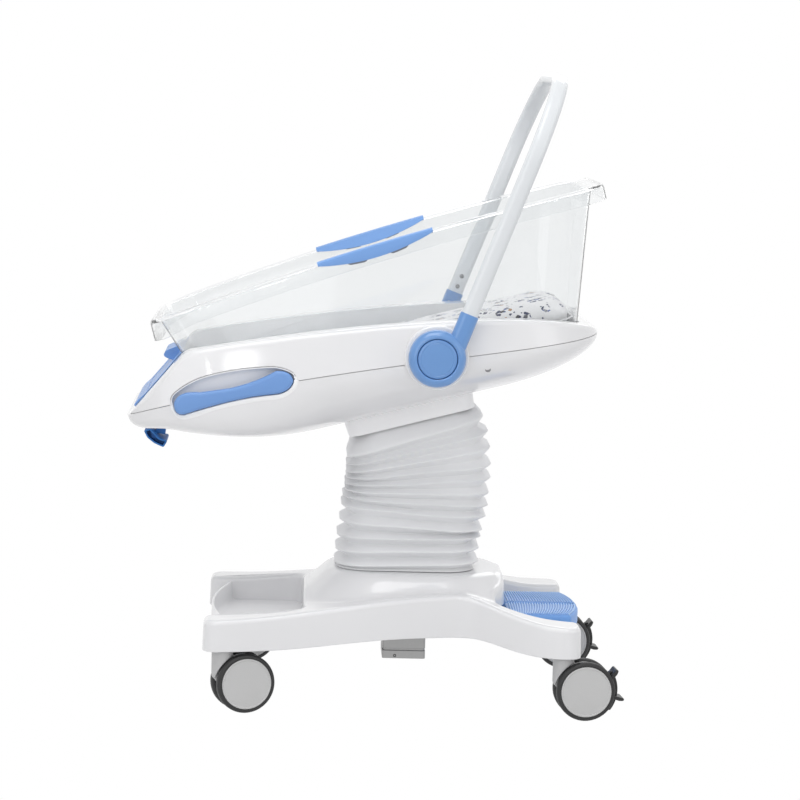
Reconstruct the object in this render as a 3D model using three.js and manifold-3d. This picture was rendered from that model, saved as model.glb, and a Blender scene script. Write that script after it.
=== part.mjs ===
// Hospital bassinet: a clear basin in a tilting cradle on a lifting column with four casters.
// Millimetres and degrees. +Z is up, +X is the head end, -Y is the right side.
import * as THREE from 'three';
import { mergeVertices } from 'three/addons/utils/BufferGeometryUtils.js';
import Module from 'manifold-3d';

const wasm = await Module();
wasm.setup();

// Fits
const GAP = 0.3; // between pieces that meet
const RUN = 0.4; // round shafts, pins and sliding pieces
const WALL = 4; // moulded shells

// Casters
const WHEEL_D = 100;
const WHEEL_W = 20;
const WHEEL_SPACE = 16; // between the two wheels of a caster
const TYRE_T = 7;
const CASTER_TRAIL = 36; // stem to axle
const AXLE_D = 8;
const NECK_D = 36;
const NECK_H = 19; // neck top above the tyres
const WEB_R = 33;
const STEM_D = 12;
const STEM_L = 24;
const STEM_INSET = 34; // stem axis in from the side of the base
const FOOT_STEM_X = -305; // from the column axis
const HEAD_STEM_X = 269;
const BRAKE_PIN_D = 5;
const BRAKE_PIN_R = 46; // axle to brake pin
const BRAKE_PAD_W = 38;

// Base
const CENTRE_X = 52; // column axis from the middle of the overall length
const LEG_CLEAR = 5; // tyre top to leg underside
const LEG_H = 53;
const LEG_END_W = 78;
const BASE_W = 536;
const FOOT_END_X = -339;
const HEAD_END_X = 297;
const WAIST_X = 105;
const WAIST_IN = 96; // waist in from the side of the base
const ARCH_RISE = 18; // underside at the waist above the leg ends
const SHOULDER_H = 37; // top at the waist above the leg ends
const DECK_H = 26; // deck above the waist
const DECK_W = 276;
const DECK_END_X = 176;
const DECK_FOOT_X = -170;
const TRAY_END_X = -172;
const TRAY_FLOOR_H = 13; // tray floor above the leg undersides
const TRAY_LIP_H = 45; // lip top above the leg undersides
const LIP_SIDE_X = -304;
const LIP_MID_X = -330;
const LIP_T = 5;

// Chassis and column
const CHASSIS_T = 26;
const SOCKET_D = 32;
const ARM_W = 24;
const ARM_IN = 56; // head arm's start in from the waist
const TUBE_D = 72;
const TUBE_T = 3.5;
const TUBE_L = 219;
const RAM_D = 60;
const RAM_T = 4;
const RAM_L = 262;
const BUSH_L = 40;
const BLOCK_L = 75; // column foot
const BLOCK_W = 90;
const BLOCK_H = 67;
const BLOCK_X = 6;

// Pedals
const PEDAL_AXLE_X = 134;
const PEDAL_AXLE_D = 12;
const PEDAL_W = 118;
const PEDAL_BACK_X = 180;
const PEDAL_MID_X = 310;
const PEDAL_SIDE_X = 288;
const PEDAL_T = 26;
const PEDAL_TOP_H = 52; // above the leg undersides
const PEDAL_SPLIT = 3;

// Cradle, in its own level frame round the tilt pivot
const REST_TILT = 15;
const PIVOT_H = 289; // pivot above the deck
const PIN_D = 16;
const YOKE_GAP = 52; // between the yoke cheeks
const YOKE_T = 8;
const HORN_R = 28; // pivot to the gas spring pin
const HORN_PIN_D = 8;
const BEARING_Y = 45;
const HULL_W = 470;
const FRONT_W = 310;
const HULL_FOOT_X = -464;
const HULL_HEAD_X = 347;
const FULL_FOOT_X = -290;
const FULL_HEAD_X = 120;
const PARTING_FOOT_Z = 105;
const PARTING_HEAD_Z = 44;
const RIM_DRAFT = 12; // hull edge to upper rim, per side
const FRONT_TOP_X = -341;
const FRONT_TOP_Z = 189;
const KEEL_Z = -9;
const NECK_L = 222;
const NECK_W = 184;
const NECK_DEPTH = 33; // neck bottom below the pivot
const MECH_L = 150; // opening in the hull floor
const MECH_W = 116;

// Basin and mattress
const BASIN_FOOT_X = -311;
const BASIN_HEAD_X = 307;
const BASIN_W = 300;
const BASIN_FLARE_L = 0.323;
const BASIN_FLARE_W = 0.19;
const BASIN_T = 4;
const BASIN_R = 62;
const RIM_W = 431;
const RIM_FOOT_X = -392;
const RIM_HEAD_X = 408;
const RIM_FOOT_H = 200; // rim above the basin's underside
const RIM_MID_H = 251;
const RIM_HEAD_H = 247;
const RIM_LIP = 27;
const RIM_FOOT_DROP = 9; // deeper lip at the foot end
const WELL_FLOOR_Z = 44;
const WELL_T = 3;
const WELL_GAP = 3;
const RIM_GRIP_FOOT_X = -93;
const RIM_GRIP_HEAD_X = 107;
const RIM_GRIP_T = 2.6;
const RIM_GRIP_DEPTH = 18;
const MATTRESS_T = 72;
const MATTRESS_GAP = 4;

// Arch handle
const HUB_X = 64;
const HUB_Z = 82.5;
const HUB_D = 96;
const HUB_FACE_Y = 275;
const HUB_T = 26;
const BOSS_D = 108;
const BUTTON_D = 64;
const BUTTON_STROKE = 5;
const SPINDLE_D = 20;
const SPINDLE_IN_Y = 184;
const ARCH_LEAN = 35.8; // from the cradle's own upright
const LEG_OFFSET = 22;
const LEG_SPAN = 516; // between the leg axes
const ARCH_H = 503; // hub to the axis of the top bar
const ARCH_R = 150;
const ARCH_TUBE_W = 28;
const ARCH_TUBE_T = 18;
const SLEEVE_TOP = 88;
const SLEEVE_WALL = 1.6;
const SOCKET_Z = 42;

// Side grips, fascia and tilt lever
const GRIP_T = 14;
const GRIP_X = -278; // middle of the hand recess
const GRIP_Z = 110;
const POCKET_L = 213;
const POCKET_H = 63;
const GRIP_L = 207;
const GRIP_H = 45;
const POCKET_Y = 198; // back of the hand recess
const FASCIA_W = 280;
const FASCIA_T = 6;
const LEVER_W = 90;
const LEVER_ARM_W = 30;
const LEVER_PIN_X = -412;
const LEVER_PIN_Z = 88;
const LEVER_PIN_D = 6;

// Bellows
const RIBS = 13;
const RIB_DEPTH = 16;
const BELLOWS_L = 251; // over the ribs
const BELLOWS_W = 204;
const BELLOWS_R = 62;
const BELLOWS_T = 2;
const BELLOWS_BOW = 17; // sideways lean of the upper ribs

// Gas spring
const GAS_D = 18;
const GAS_ROD_D = 8;
const GAS_FOOT_X = -234;
const GAS_BODY_L = 124;
const GAS_STUD_L = 13;
const CABLE_D = 3;

const rad = THREE.MathUtils.degToRad;
const AXLE_Z = WHEEL_D / 2;
const LEG_Z = WHEEL_D + LEG_CLEAR;
const DECK_Z = LEG_Z + LEG_H + SHOULDER_H + DECK_H;
const NECK_TOP = WHEEL_D + NECK_H;
const LEG_IN = BASE_W / 2 - LEG_END_W;
const TRACK = BASE_W - 2 * STEM_INSET;
const WAIST_W = BASE_W - 2 * WAIST_IN;
const CHASSIS_Z = LEG_Z + LEG_H - WALL - GAP - CHASSIS_T;
const PIVOT_Z = DECK_Z + PIVOT_H;
const PEDAL_TOP = LEG_Z + PEDAL_TOP_H;
const PEDAL_AXLE_Z = PEDAL_TOP - 16;
const BASIN_Z = WELL_FLOOR_Z + WELL_T + GAP;

function smooth(value) {
  const t = Math.min(1, Math.max(0, value));
  return t * t * (3 - 2 * t);
}

function solidOf(geometry) {
  const loose = geometry.index ? geometry.toNonIndexed() : geometry;
  const bare = new THREE.BufferGeometry();
  bare.setAttribute('position', loose.getAttribute('position').clone());
  const merged = mergeVertices(bare, 1e-3);
  const mesh = new wasm.Mesh({
    numProp: 3,
    vertProperties: merged.attributes.position.array,
    triVerts: new Uint32Array(merged.index.array),
  });
  return new wasm.Manifold(mesh);
}

function geometryOf(solid) {
  const mesh = solid.getMesh();
  const geometry = new THREE.BufferGeometry();
  geometry.setAttribute('position', new THREE.BufferAttribute(new Float32Array(mesh.vertProperties), 3));
  geometry.setIndex(Array.from(mesh.triVerts));
  const loose = geometry.toNonIndexed();
  loose.computeVertexNormals();
  return loose;
}

function mirrored(geometry) {
  const copy = (geometry.index ? geometry.toNonIndexed() : geometry.clone()).scale(1, -1, 1);
  const place = copy.getAttribute('position');
  for (let i = 0; i < place.count; i += 3) {
    const a = new THREE.Vector3().fromBufferAttribute(place, i + 1);
    const b = new THREE.Vector3().fromBufferAttribute(place, i + 2);
    place.setXYZ(i + 1, b.x, b.y, b.z);
    place.setXYZ(i + 2, a.x, a.y, a.z);
  }
  copy.computeVertexNormals();
  return copy;
}

function joined(...solids) {
  return solids.reduce((sum, solid) => sum.add(solid));
}

function without(solid, ...tools) {
  return tools.reduce((rest, tool) => rest.subtract(tool), solid);
}

// A closed skin over a stack of rings with equal point counts; loop joins the last ring to the first.
function skin(rings, ends) {
  const count = rings[0].length;
  const points = rings.flat();
  const faces = [];
  const last = ends === 'loop' ? rings.length : rings.length - 1;
  for (let i = 0; i < last; i += 1) {
    const up = ((i + 1) % rings.length) * count;
    for (let k = 0; k < count; k += 1) {
      const n = (k + 1) % count;
      faces.push([i * count + k, i * count + n, up + n]);
      faces.push([i * count + k, up + n, up + k]);
    }
  }
  const fan = (ring, first, turn) => {
    const middle = new THREE.Vector3();
    ring.forEach((p) => middle.addScaledVector(p, 1 / count));
    points.push(middle);
    for (let k = 0; k < count; k += 1) {
      const edge = [first + k, first + ((k + 1) % count)];
      faces.push(turn ? [edge[1], edge[0], points.length - 1] : [edge[0], edge[1], points.length - 1]);
    }
  };
  if (ends === 'fan') {
    fan(rings[0], 0, true);
    fan(rings[rings.length - 1], (rings.length - 1) * count, false);
  }
  let volume = 0;
  faces.forEach((f) => {
    volume += points[f[0]].dot(new THREE.Vector3().crossVectors(points[f[1]], points[f[2]]));
  });
  const order = volume < 0 ? [0, 2, 1] : [0, 1, 2];
  const place = [];
  faces.forEach((f) => order.forEach((k) => place.push(points[f[k]].x, points[f[k]].y, points[f[k]].z)));
  const geometry = new THREE.BufferGeometry();
  geometry.setAttribute('position', new THREE.Float32BufferAttribute(place, 3));
  geometry.computeVertexNormals();
  return geometry;
}

// Rounded rectangle, counter-clockwise from the +X side, with extra points on the long sides.
function roundedOutline(x0, x1, halfWidth, radius, arcSteps, sideSteps) {
  const points = [];
  const corner = (cx, cy, start) => {
    for (let k = 0; k <= arcSteps; k += 1) {
      const a = start + (Math.PI / 2) * (k / arcSteps);
      points.push(new THREE.Vector2(cx + radius * Math.cos(a), cy + radius * Math.sin(a)));
    }
  };
  const side = (from, to, y) => {
    for (let k = 1; k < sideSteps; k += 1) {
      points.push(new THREE.Vector2(from + (to - from) * (k / sideSteps), y));
    }
  };
  corner(x1 - radius, halfWidth - radius, 0);
  side(x1 - radius, x0 + radius, halfWidth);
  corner(x0 + radius, halfWidth - radius, Math.PI / 2);
  corner(x0 + radius, radius - halfWidth, Math.PI);
  side(x0 + radius, x1 - radius, -halfWidth);
  corner(x1 - radius, radius - halfWidth, Math.PI * 1.5);
  return points;
}

function levelRing(outline, z) {
  return outline.map((p) => new THREE.Vector3(p.x, p.y, typeof z === 'function' ? z(p.x) : z));
}

// A polygon given as [x, y, radius] corners, moved in by inset, as a shape with round corners.
function corneredShape(corners, inset) {
  const size = corners.length;
  const moved = corners.map((corner, i) => {
    const p = new THREE.Vector2(corner[0], corner[1]);
    const before = corners[(i + size - 1) % size];
    const after = corners[(i + 1) % size];
    const into = p.clone().sub(new THREE.Vector2(before[0], before[1])).normalize();
    const out = new THREE.Vector2(after[0], after[1]).sub(p).normalize();
    const bend = into.cross(out);
    const normal = new THREE.Vector2(-into.y - out.y, into.x + out.x).normalize();
    const spread = Math.sqrt((1 + into.dot(out)) / 2);
    const radius = Math.max(0.5, corner[2] - Math.sign(bend) * inset);
    return { place: p.addScaledVector(normal, inset / spread), into, out, bend, radius };
  });
  const shape = new THREE.Shape();
  moved.forEach((c, i) => {
    const half = Math.acos(Math.min(1, Math.max(-1, c.into.dot(c.out)))) / 2;
    const reach = c.radius * Math.tan(half);
    const start = c.place.clone().addScaledVector(c.into, -reach);
    const end = c.place.clone().addScaledVector(c.out, reach);
    const steps = 4;
    const side = new THREE.Vector2(-c.into.y, c.into.x).multiplyScalar(Math.sign(c.bend));
    const centre = start.clone().addScaledVector(side, c.radius);
    const from = start.clone().sub(centre).angle();
    const sweep = 2 * half * Math.sign(c.bend);
    for (let k = 0; k <= steps; k += 1) {
      const a = from + sweep * (k / steps);
      const x = k === steps ? end.x : centre.x + c.radius * Math.cos(a);
      const y = k === steps ? end.y : centre.y + c.radius * Math.sin(a);
      if (i === 0 && k === 0) {
        shape.moveTo(x, y);
      } else {
        shape.lineTo(x, y);
      }
    }
  });
  return shape;
}

// Upright prism of a plan shape, and a prism across Y of a side shape drawn in X and Z.
function prismZ(shape, z0, z1) {
  const depth = z1 - z0;
  const made = new THREE.ExtrudeGeometry(shape, { depth, bevelEnabled: false, curveSegments: 5 });
  return solidOf(made.translate(0, 0, z0));
}

function prismY(shape, y0, y1) {
  const depth = y1 - y0;
  const made = new THREE.ExtrudeGeometry(shape, { depth, bevelEnabled: false, curveSegments: 5 });
  return solidOf(made.rotateX(Math.PI / 2).translate(0, y1, 0));
}

function polygon(list) {
  return new THREE.Shape(list.map((p) => new THREE.Vector2(p[0], p[1])));
}

function box(x0, x1, y0, y1, z0, z1) {
  const made = new THREE.BoxGeometry(x1 - x0, y1 - y0, z1 - z0);
  return solidOf(made.translate((x0 + x1) / 2, (y0 + y1) / 2, (z0 + z1) / 2));
}

function rodX(diameter, x0, x1, y, z, sides = 12) {
  const made = new THREE.CylinderGeometry(diameter / 2, diameter / 2, x1 - x0, sides);
  return solidOf(made.rotateZ(-Math.PI / 2).translate((x0 + x1) / 2, y, z));
}

function rodY(diameter, x, y0, y1, z, sides = 12) {
  const made = new THREE.CylinderGeometry(diameter / 2, diameter / 2, y1 - y0, sides);
  return solidOf(made.translate(x, (y0 + y1) / 2, z));
}

function rodZ(diameter, x, y, z0, z1, sides = 12) {
  const made = new THREE.CylinderGeometry(diameter / 2, diameter / 2, z1 - z0, sides);
  return solidOf(made.rotateX(Math.PI / 2).translate(x, y, (z0 + z1) / 2));
}

// Flat bar between two plan points.
function bar(from, to, width, z0, z1) {
  const a = new THREE.Vector2(from[0], from[1]);
  const run = new THREE.Vector2(to[0], to[1]).sub(a);
  const made = new THREE.BoxGeometry(run.length() + width, width, z1 - z0);
  made.rotateZ(run.angle());
  return solidOf(made.translate(a.x + run.x / 2, a.y + run.y / 2, (z0 + z1) / 2));
}

// Turned ring or disc about Y; profile points are [radius, y].
function turnedY(profile, sides) {
  return new THREE.LatheGeometry(profile.map((p) => new THREE.Vector2(p[0], p[1])), sides);
}

function heightAt(curve, x) {
  let low = 0;
  let high = 1;
  for (let i = 0; i < 40; i += 1) {
    const mid = (low + high) / 2;
    if (curve.getPoint(mid).x < x) {
      low = mid;
    } else {
      high = mid;
    }
  }
  return curve.getPoint((low + high) / 2).y;
}

const root = new THREE.Group();
root.name = 'bassinet';
const base = new THREE.Group();
base.position.x = CENTRE_X;
root.add(base);

function put(group, name, made, color, look = {}) {
  const geometry = made.isBufferGeometry ? made : geometryOf(made);
  const material = new THREE.MeshStandardMaterial({ color, roughness: 0.4, ...look });
  const mesh = new THREE.Mesh(geometry, material);
  mesh.name = name;
  group.add(mesh);
  return mesh;
}

function groupAt(parent, name, x, y, z) {
  const group = new THREE.Group();
  group.name = name;
  group.position.set(x, y, z);
  parent.add(group);
  return group;
}

const WHITE = 0xf2f4f6;
const BLUE = 0x6f9ad6;
const STEEL = 0x8a8d90;
const PALE = 0xc9c9c9;
const BLACK = 0x2b2b2b;
const STEEL_LOOK = { metalness: 0.8 };

// Base cover: plan outline kept between the underside and top lines, with a deck and a tray added.
function rise(x) {
  const foot = (x - FOOT_END_X) / (WAIST_X - FOOT_END_X);
  const head = (HEAD_END_X - x) / (HEAD_END_X - WAIST_X);
  return x < WAIST_X ? smooth(foot) : smooth(head) * Math.min(1, Math.max(0, head));
}

function legBand(drop, under) {
  const steps = 12;
  const shape = new THREE.Shape();
  const reach = 20;
  const at = (k) => FOOT_END_X - reach + (HEAD_END_X - FOOT_END_X + 2 * reach) * (k / steps);
  shape.moveTo(at(0), LEG_Z - under);
  for (let k = 1; k <= steps; k += 1) {
    shape.lineTo(at(k), LEG_Z - under + ARCH_RISE * smooth(rise(at(k))));
  }
  for (let k = steps; k >= 0; k -= 1) {
    shape.lineTo(at(k), LEG_Z + LEG_H + SHOULDER_H * rise(at(k)) - drop);
  }
  return prismY(shape, -BASE_W, BASE_W);
}

const HEAD_BAY_X = 150;
const nearCorners = [
  [TRAY_END_X, -LEG_IN, 30],
  [FOOT_END_X, -LEG_IN, 18],
  [FOOT_END_X, -BASE_W / 2, 22],
  [WAIST_X, -WAIST_W / 2, 70],
  [HEAD_STEM_X - 32, -BASE_W / 2 + 13, 120],
  [HEAD_END_X, -BASE_W / 2, 22],
  [HEAD_END_X, -LEG_IN, 18],
  [HEAD_BAY_X, -WAIST_W / 2 + 22, 30],
];
const farCorners = nearCorners.map((c) => [c[0], -c[1], c[2]]).reverse();
const legCorners = [...nearCorners, ...farCorners];
const DECK_RAMP_W = 48; // wider at the foot of the ramp, both sides together
const DECK_RAMP_L = 44;
function deckBlock(inset, bottom) {
  const half = DECK_W / 2 - inset;
  const low = LEG_Z + LEG_H + SHOULDER_H - 13 - inset;
  const end = DECK_END_X - inset;
  const foot = DECK_FOOT_X + inset;
  const wide = roundedOutline(foot, end, half + DECK_RAMP_W / 2, 110 - inset, 5, 1);
  const brim = roundedOutline(foot + DECK_RAMP_L - 6, end - 8, half - 6, 104 - inset, 5, 1);
  const top = roundedOutline(foot + DECK_RAMP_L, end - 16, half - 14, 98 - inset, 5, 1);
  const rings = [
    levelRing(wide, bottom),
    levelRing(wide, low),
    levelRing(brim, DECK_Z - inset - 4),
    levelRing(top, DECK_Z - inset),
  ];
  return solidOf(skin(rings, 'fan'));
}

function trayShape(lip, half, end) {
  const shape = new THREE.Shape();
  shape.moveTo(end, -half);
  shape.lineTo(end, half);
  shape.lineTo(LIP_SIDE_X + lip, half);
  shape.quadraticCurveTo(2 * LIP_MID_X - LIP_SIDE_X + lip, 0, LIP_SIDE_X + lip, -half);
  return shape;
}

const trayFloor = LEG_Z + TRAY_FLOOR_H;
const tray = without(
  prismZ(trayShape(0, LEG_IN + 2, TRAY_END_X + 2), trayFloor - WALL, LEG_Z + TRAY_LIP_H),
  prismZ(trayShape(LIP_T, LEG_IN + 4, TRAY_END_X + 4), trayFloor, LEG_Z + TRAY_LIP_H + 20),
);
const coverForm = joined(
  prismZ(corneredShape(legCorners, 0), LEG_Z - 40, DECK_Z).intersect(legBand(0, 0)),
  deckBlock(0, LEG_Z + LEG_H - 12),
);
const coverHollow = joined(
  prismZ(corneredShape(legCorners, WALL), LEG_Z - 60, DECK_Z).intersect(legBand(WALL, 30)),
  deckBlock(WALL, LEG_Z),
);
const PEDAL_BAY = PEDAL_W + 6;
put(
  base,
  'base_cover',
  without(
    coverForm,
    coverHollow,
    box(HEAD_BAY_X - 22, DECK_END_X + 10, -PEDAL_BAY, PEDAL_BAY, LEG_Z - 20, PEDAL_TOP + 9),
    rodZ(TUBE_D + 30, 0, 0, DECK_Z - 20, DECK_Z + 20, 28),
  ).add(tray),
  WHITE,
);

// Chassis: arms to the caster sockets round a block with the column bore, and ears for the pedal axle.
const chassisTop = CHASSIS_Z + CHASSIS_T;
const elbowX = -140;
const elbowY = LEG_IN + ARM_W / 2 - 2;
const headArmY = WAIST_W / 2 - ARM_IN;
const plateY = headArmY - ARM_W * (2 / 3);
const chassisBars = [];
const chassisBores = [];
[-1, 1].forEach((side) => {
  const stemY = (side * TRACK) / 2;
  chassisBars.push(bar([-40, side * (plateY - 20)], [elbowX, side * elbowY], ARM_W, CHASSIS_Z, chassisTop));
  chassisBars.push(bar([elbowX, side * elbowY], [FOOT_STEM_X, stemY], ARM_W, CHASSIS_Z, chassisTop));
  chassisBars.push(bar([50, side * headArmY], [HEAD_STEM_X, stemY], ARM_W, CHASSIS_Z, chassisTop));
  const earIn = side * (PEDAL_W + 3);
  const earOut = side * (PEDAL_W + 9);
  const ear = [Math.min(earIn, earOut), Math.max(earIn, earOut)];
  chassisBars.push(box(60, PEDAL_AXLE_X + 10, ear[0], ear[1], CHASSIS_Z, chassisTop));
  [FOOT_STEM_X, HEAD_STEM_X].forEach((x) => {
    chassisBars.push(rodZ(SOCKET_D, x, stemY, NECK_TOP + GAP, chassisTop));
    chassisBores.push(rodZ(STEM_D + 2 * RUN, x, stemY, NECK_TOP - 5, NECK_TOP + STEM_L + 1, 12));
  });
});
const blockSide = 82;
const chassis = without(
  joined(box(-blockSide, blockSide, -plateY, plateY, CHASSIS_Z, chassisTop), ...chassisBars),
  rodZ(TUBE_D + 2 * GAP, 0, 0, CHASSIS_Z - 5, chassisTop + 5, 18),
  rodY(PEDAL_AXLE_D + 2 * GAP, PEDAL_AXLE_X, -BASE_W / 2, BASE_W / 2, PEDAL_AXLE_Z, 12),
  ...chassisBores,
);
put(base, 'chassis', chassis, STEEL, STEEL_LOOK);

// Column: foot block under the chassis, outer tube standing on it, guide bush in the tube's mouth.
const blockTop = CHASSIS_Z - GAP;
const block = without(
  box(BLOCK_X - BLOCK_L / 2, BLOCK_X + BLOCK_L / 2, -BLOCK_W / 2, BLOCK_W / 2, blockTop - BLOCK_H, blockTop),
  box(BLOCK_X - BLOCK_L, BLOCK_X + BLOCK_L, -BLOCK_W, -BLOCK_W / 2 + 3, blockTop - 53, blockTop - 49),
  box(BLOCK_X - BLOCK_L, BLOCK_X + BLOCK_L, BLOCK_W / 2 - 3, BLOCK_W, blockTop - 53, blockTop - 49),
);
put(base, 'column_foot', block, STEEL, STEEL_LOOK);
const tubeFoot = CHASSIS_Z;
const tubeTop = tubeFoot + TUBE_L;
const tubeBore = TUBE_D - 2 * TUBE_T;
const outerTube = without(
  rodZ(TUBE_D, 0, 0, tubeFoot, tubeTop, 18),
  rodZ(tubeBore, 0, 0, tubeFoot - 5, tubeTop + 5, 18),
);
put(base, 'column_tube', outerTube, STEEL, STEEL_LOOK);
const bush = without(
  joined(
    rodZ(tubeBore - 2 * GAP, 0, 0, tubeTop - BUSH_L, tubeTop + GAP, 18),
    rodZ(TUBE_D, 0, 0, tubeTop + GAP, tubeTop + GAP + 4, 18),
  ),
  rodZ(RAM_D + 2 * RUN, 0, 0, tubeTop - BUSH_L - 5, tubeTop + 20, 18),
);
put(base, 'column_bush', bush, WHITE);

// Foot pedals on one axle; each is a ribbed pad with a skirt and an arm to its own hub.
put(
  base,
  'pedal_axle',
  rodY(PEDAL_AXLE_D, PEDAL_AXLE_X, -PEDAL_W - 9, PEDAL_W + 9, PEDAL_AXLE_Z, 12),
  STEEL,
  STEEL_LOOK,
);
function padShape(inset) {
  const inner = PEDAL_SPLIT / 2 + inset;
  const outer = PEDAL_W - inset;
  const shape = new THREE.Shape();
  shape.moveTo(PEDAL_BACK_X + inset, inner);
  shape.lineTo(PEDAL_MID_X - inset, inner);
  shape.quadraticCurveTo(PEDAL_MID_X - inset, outer * 0.6, PEDAL_SIDE_X - inset, outer);
  shape.lineTo(PEDAL_BACK_X + inset, outer);
  return shape;
}
const armIn = 26;
const armOut = 92;
const pedal = without(
  joined(
    without(
      prismZ(padShape(0), PEDAL_TOP - PEDAL_T, PEDAL_TOP),
      prismZ(padShape(5), PEDAL_TOP - PEDAL_T - 5, PEDAL_TOP - 6),
    ),
    box(PEDAL_AXLE_X, PEDAL_BACK_X + 3, armIn, armOut, PEDAL_AXLE_Z - 7, PEDAL_AXLE_Z + 8),
    rodY(PEDAL_AXLE_D + 12, PEDAL_AXLE_X, 6, PEDAL_W - 2, PEDAL_AXLE_Z),
  ),
  rodY(PEDAL_AXLE_D + 2 * RUN, PEDAL_AXLE_X, -5, PEDAL_W + 5, PEDAL_AXLE_Z, 12),
);
const pedalGeometry = geometryOf(pedal);
pedalGeometry.translate(-PEDAL_AXLE_X, 0, -PEDAL_AXLE_Z);
const raisePedal = groupAt(base, 'raise_pedal_body', PEDAL_AXLE_X, 0, PEDAL_AXLE_Z);
put(raisePedal, 'raise_pedal', mirrored(pedalGeometry), BLUE);
const lowerPedal = groupAt(base, 'lower_pedal_body', PEDAL_AXLE_X, 0, PEDAL_AXLE_Z);
put(lowerPedal, 'lower_pedal', pedalGeometry, BLUE);

// Casters, drawn with the stem at the origin and the axle trailing towards +X.
const webT = WHEEL_SPACE - 2;
const brakePinX = CASTER_TRAIL + BRAKE_PIN_R;
const brakePinZ = AXLE_Z + 4;
function hoodSolid(braked) {
  const r = NECK_D / 2;
  const shape = new THREE.Shape();
  shape.moveTo(2 - r, NECK_TOP);
  shape.lineTo(2 - r, AXLE_Z + 12);
  shape.quadraticCurveTo(6 - r, AXLE_Z - WEB_R + 6, CASTER_TRAIL, AXLE_Z - WEB_R);
  shape.absarc(CASTER_TRAIL, AXLE_Z, WEB_R, -Math.PI / 2, Math.PI / 2, false);
  shape.lineTo(r - 2, LEG_Z - 3);
  shape.lineTo(r - 2, NECK_TOP);
  const envelope = WHEEL_D + 6;
  const inner = webT / 2;
  let hood = without(
    joined(prismY(shape, -inner, inner), rodZ(NECK_D, 0, 0, AXLE_Z + 6, NECK_TOP, 12)),
    rodY(envelope, CASTER_TRAIL, inner, NECK_D, AXLE_Z, 14),
    rodY(envelope, CASTER_TRAIL, -NECK_D, -inner, AXLE_Z, 14),
  );
  if (braked) {
    const arm = joined(
      box(CASTER_TRAIL, brakePinX, -2.5, 2.5, brakePinZ - 5, brakePinZ + 5),
      rodY(11, brakePinX, -2.5, 2.5, brakePinZ),
    );
    hood = without(hood.add(arm), rodY(BRAKE_PIN_D + 2 * RUN, brakePinX, -9, 9, brakePinZ, 12));
  }
  const bore = rodY(AXLE_D + 2 * GAP, CASTER_TRAIL, -WHEEL_SPACE, WHEEL_SPACE, AXLE_Z, 12);
  return without(hood, bore).add(rodZ(STEM_D, 0, 0, NECK_TOP - 2, NECK_TOP + STEM_L, 12));
}
function brakeSolid() {
  const half = webT / 2 - 0.5;
  const bow = new THREE.Shape();
  const inR = WEB_R + 6;
  const outR = WHEEL_D / 2 + 7;
  bow.absarc(CASTER_TRAIL, AXLE_Z, outR, rad(-36), rad(33), false);
  bow.absarc(CASTER_TRAIL, AXLE_Z, inR, rad(33), rad(-36), true);
  const pad = (angle, length, turn) => {
    const made = new THREE.BoxGeometry(length, BRAKE_PAD_W, 5);
    made.translate(length / 2, 0, 0).rotateY(-rad(turn));
    const x = CASTER_TRAIL + (outR - 1.5) * Math.cos(rad(angle));
    const z = AXLE_Z + (outR - 1.5) * Math.sin(rad(angle));
    return solidOf(made.translate(x, 0, z));
  };
  const slot = joined(
    box(CASTER_TRAIL, brakePinX, -3, 3, brakePinZ - 9, brakePinZ + 9),
    rodY(18, brakePinX, -3, 3, brakePinZ),
  );
  const cheeks = prismY(bow, -half, half).add(rodY(14, brakePinX, -half, half, brakePinZ));
  return joined(
    without(cheeks, slot),
    rodY(BRAKE_PIN_D, brakePinX, -half, half, brakePinZ, 12),
    pad(29, 11, 52),
    pad(-12, 13, -14),
  );
}
const rimR = WHEEL_D / 2 - TYRE_T;
const axleHalf = WHEEL_SPACE / 2 + WHEEL_W - 4;
const wheelDisc = turnedY(
  [
    [AXLE_D / 2 + RUN, 0.5],
    [rimR - GAP, 0.5],
    [rimR - GAP, WHEEL_W - 1],
    [rimR - 2, WHEEL_W],
    [0, WHEEL_W],
    [0, WHEEL_W - 3],
    [AXLE_D / 2 + RUN, WHEEL_W - 3],
    [AXLE_D / 2 + RUN, 0.5],
  ],
  14,
);
const wheelTyre = turnedY(
  [
    [rimR, 1],
    [WHEEL_D / 2 - 4, 1],
    [WHEEL_D / 2, 5],
    [WHEEL_D / 2, WHEEL_W - 5],
    [WHEEL_D / 2 - 4, WHEEL_W - 1],
    [rimR, WHEEL_W - 1],
    [rimR, 1],
  ],
  14,
);
const casterList = [
  { name: 'foot_right', x: FOOT_STEM_X, side: -1, turn: 17, braked: false },
  { name: 'foot_left', x: FOOT_STEM_X, side: 1, turn: 8, braked: false },
  { name: 'head_right', x: HEAD_STEM_X, side: -1, turn: 5, braked: true },
  { name: 'head_left', x: HEAD_STEM_X, side: 1, turn: 3, braked: true },
];
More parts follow.
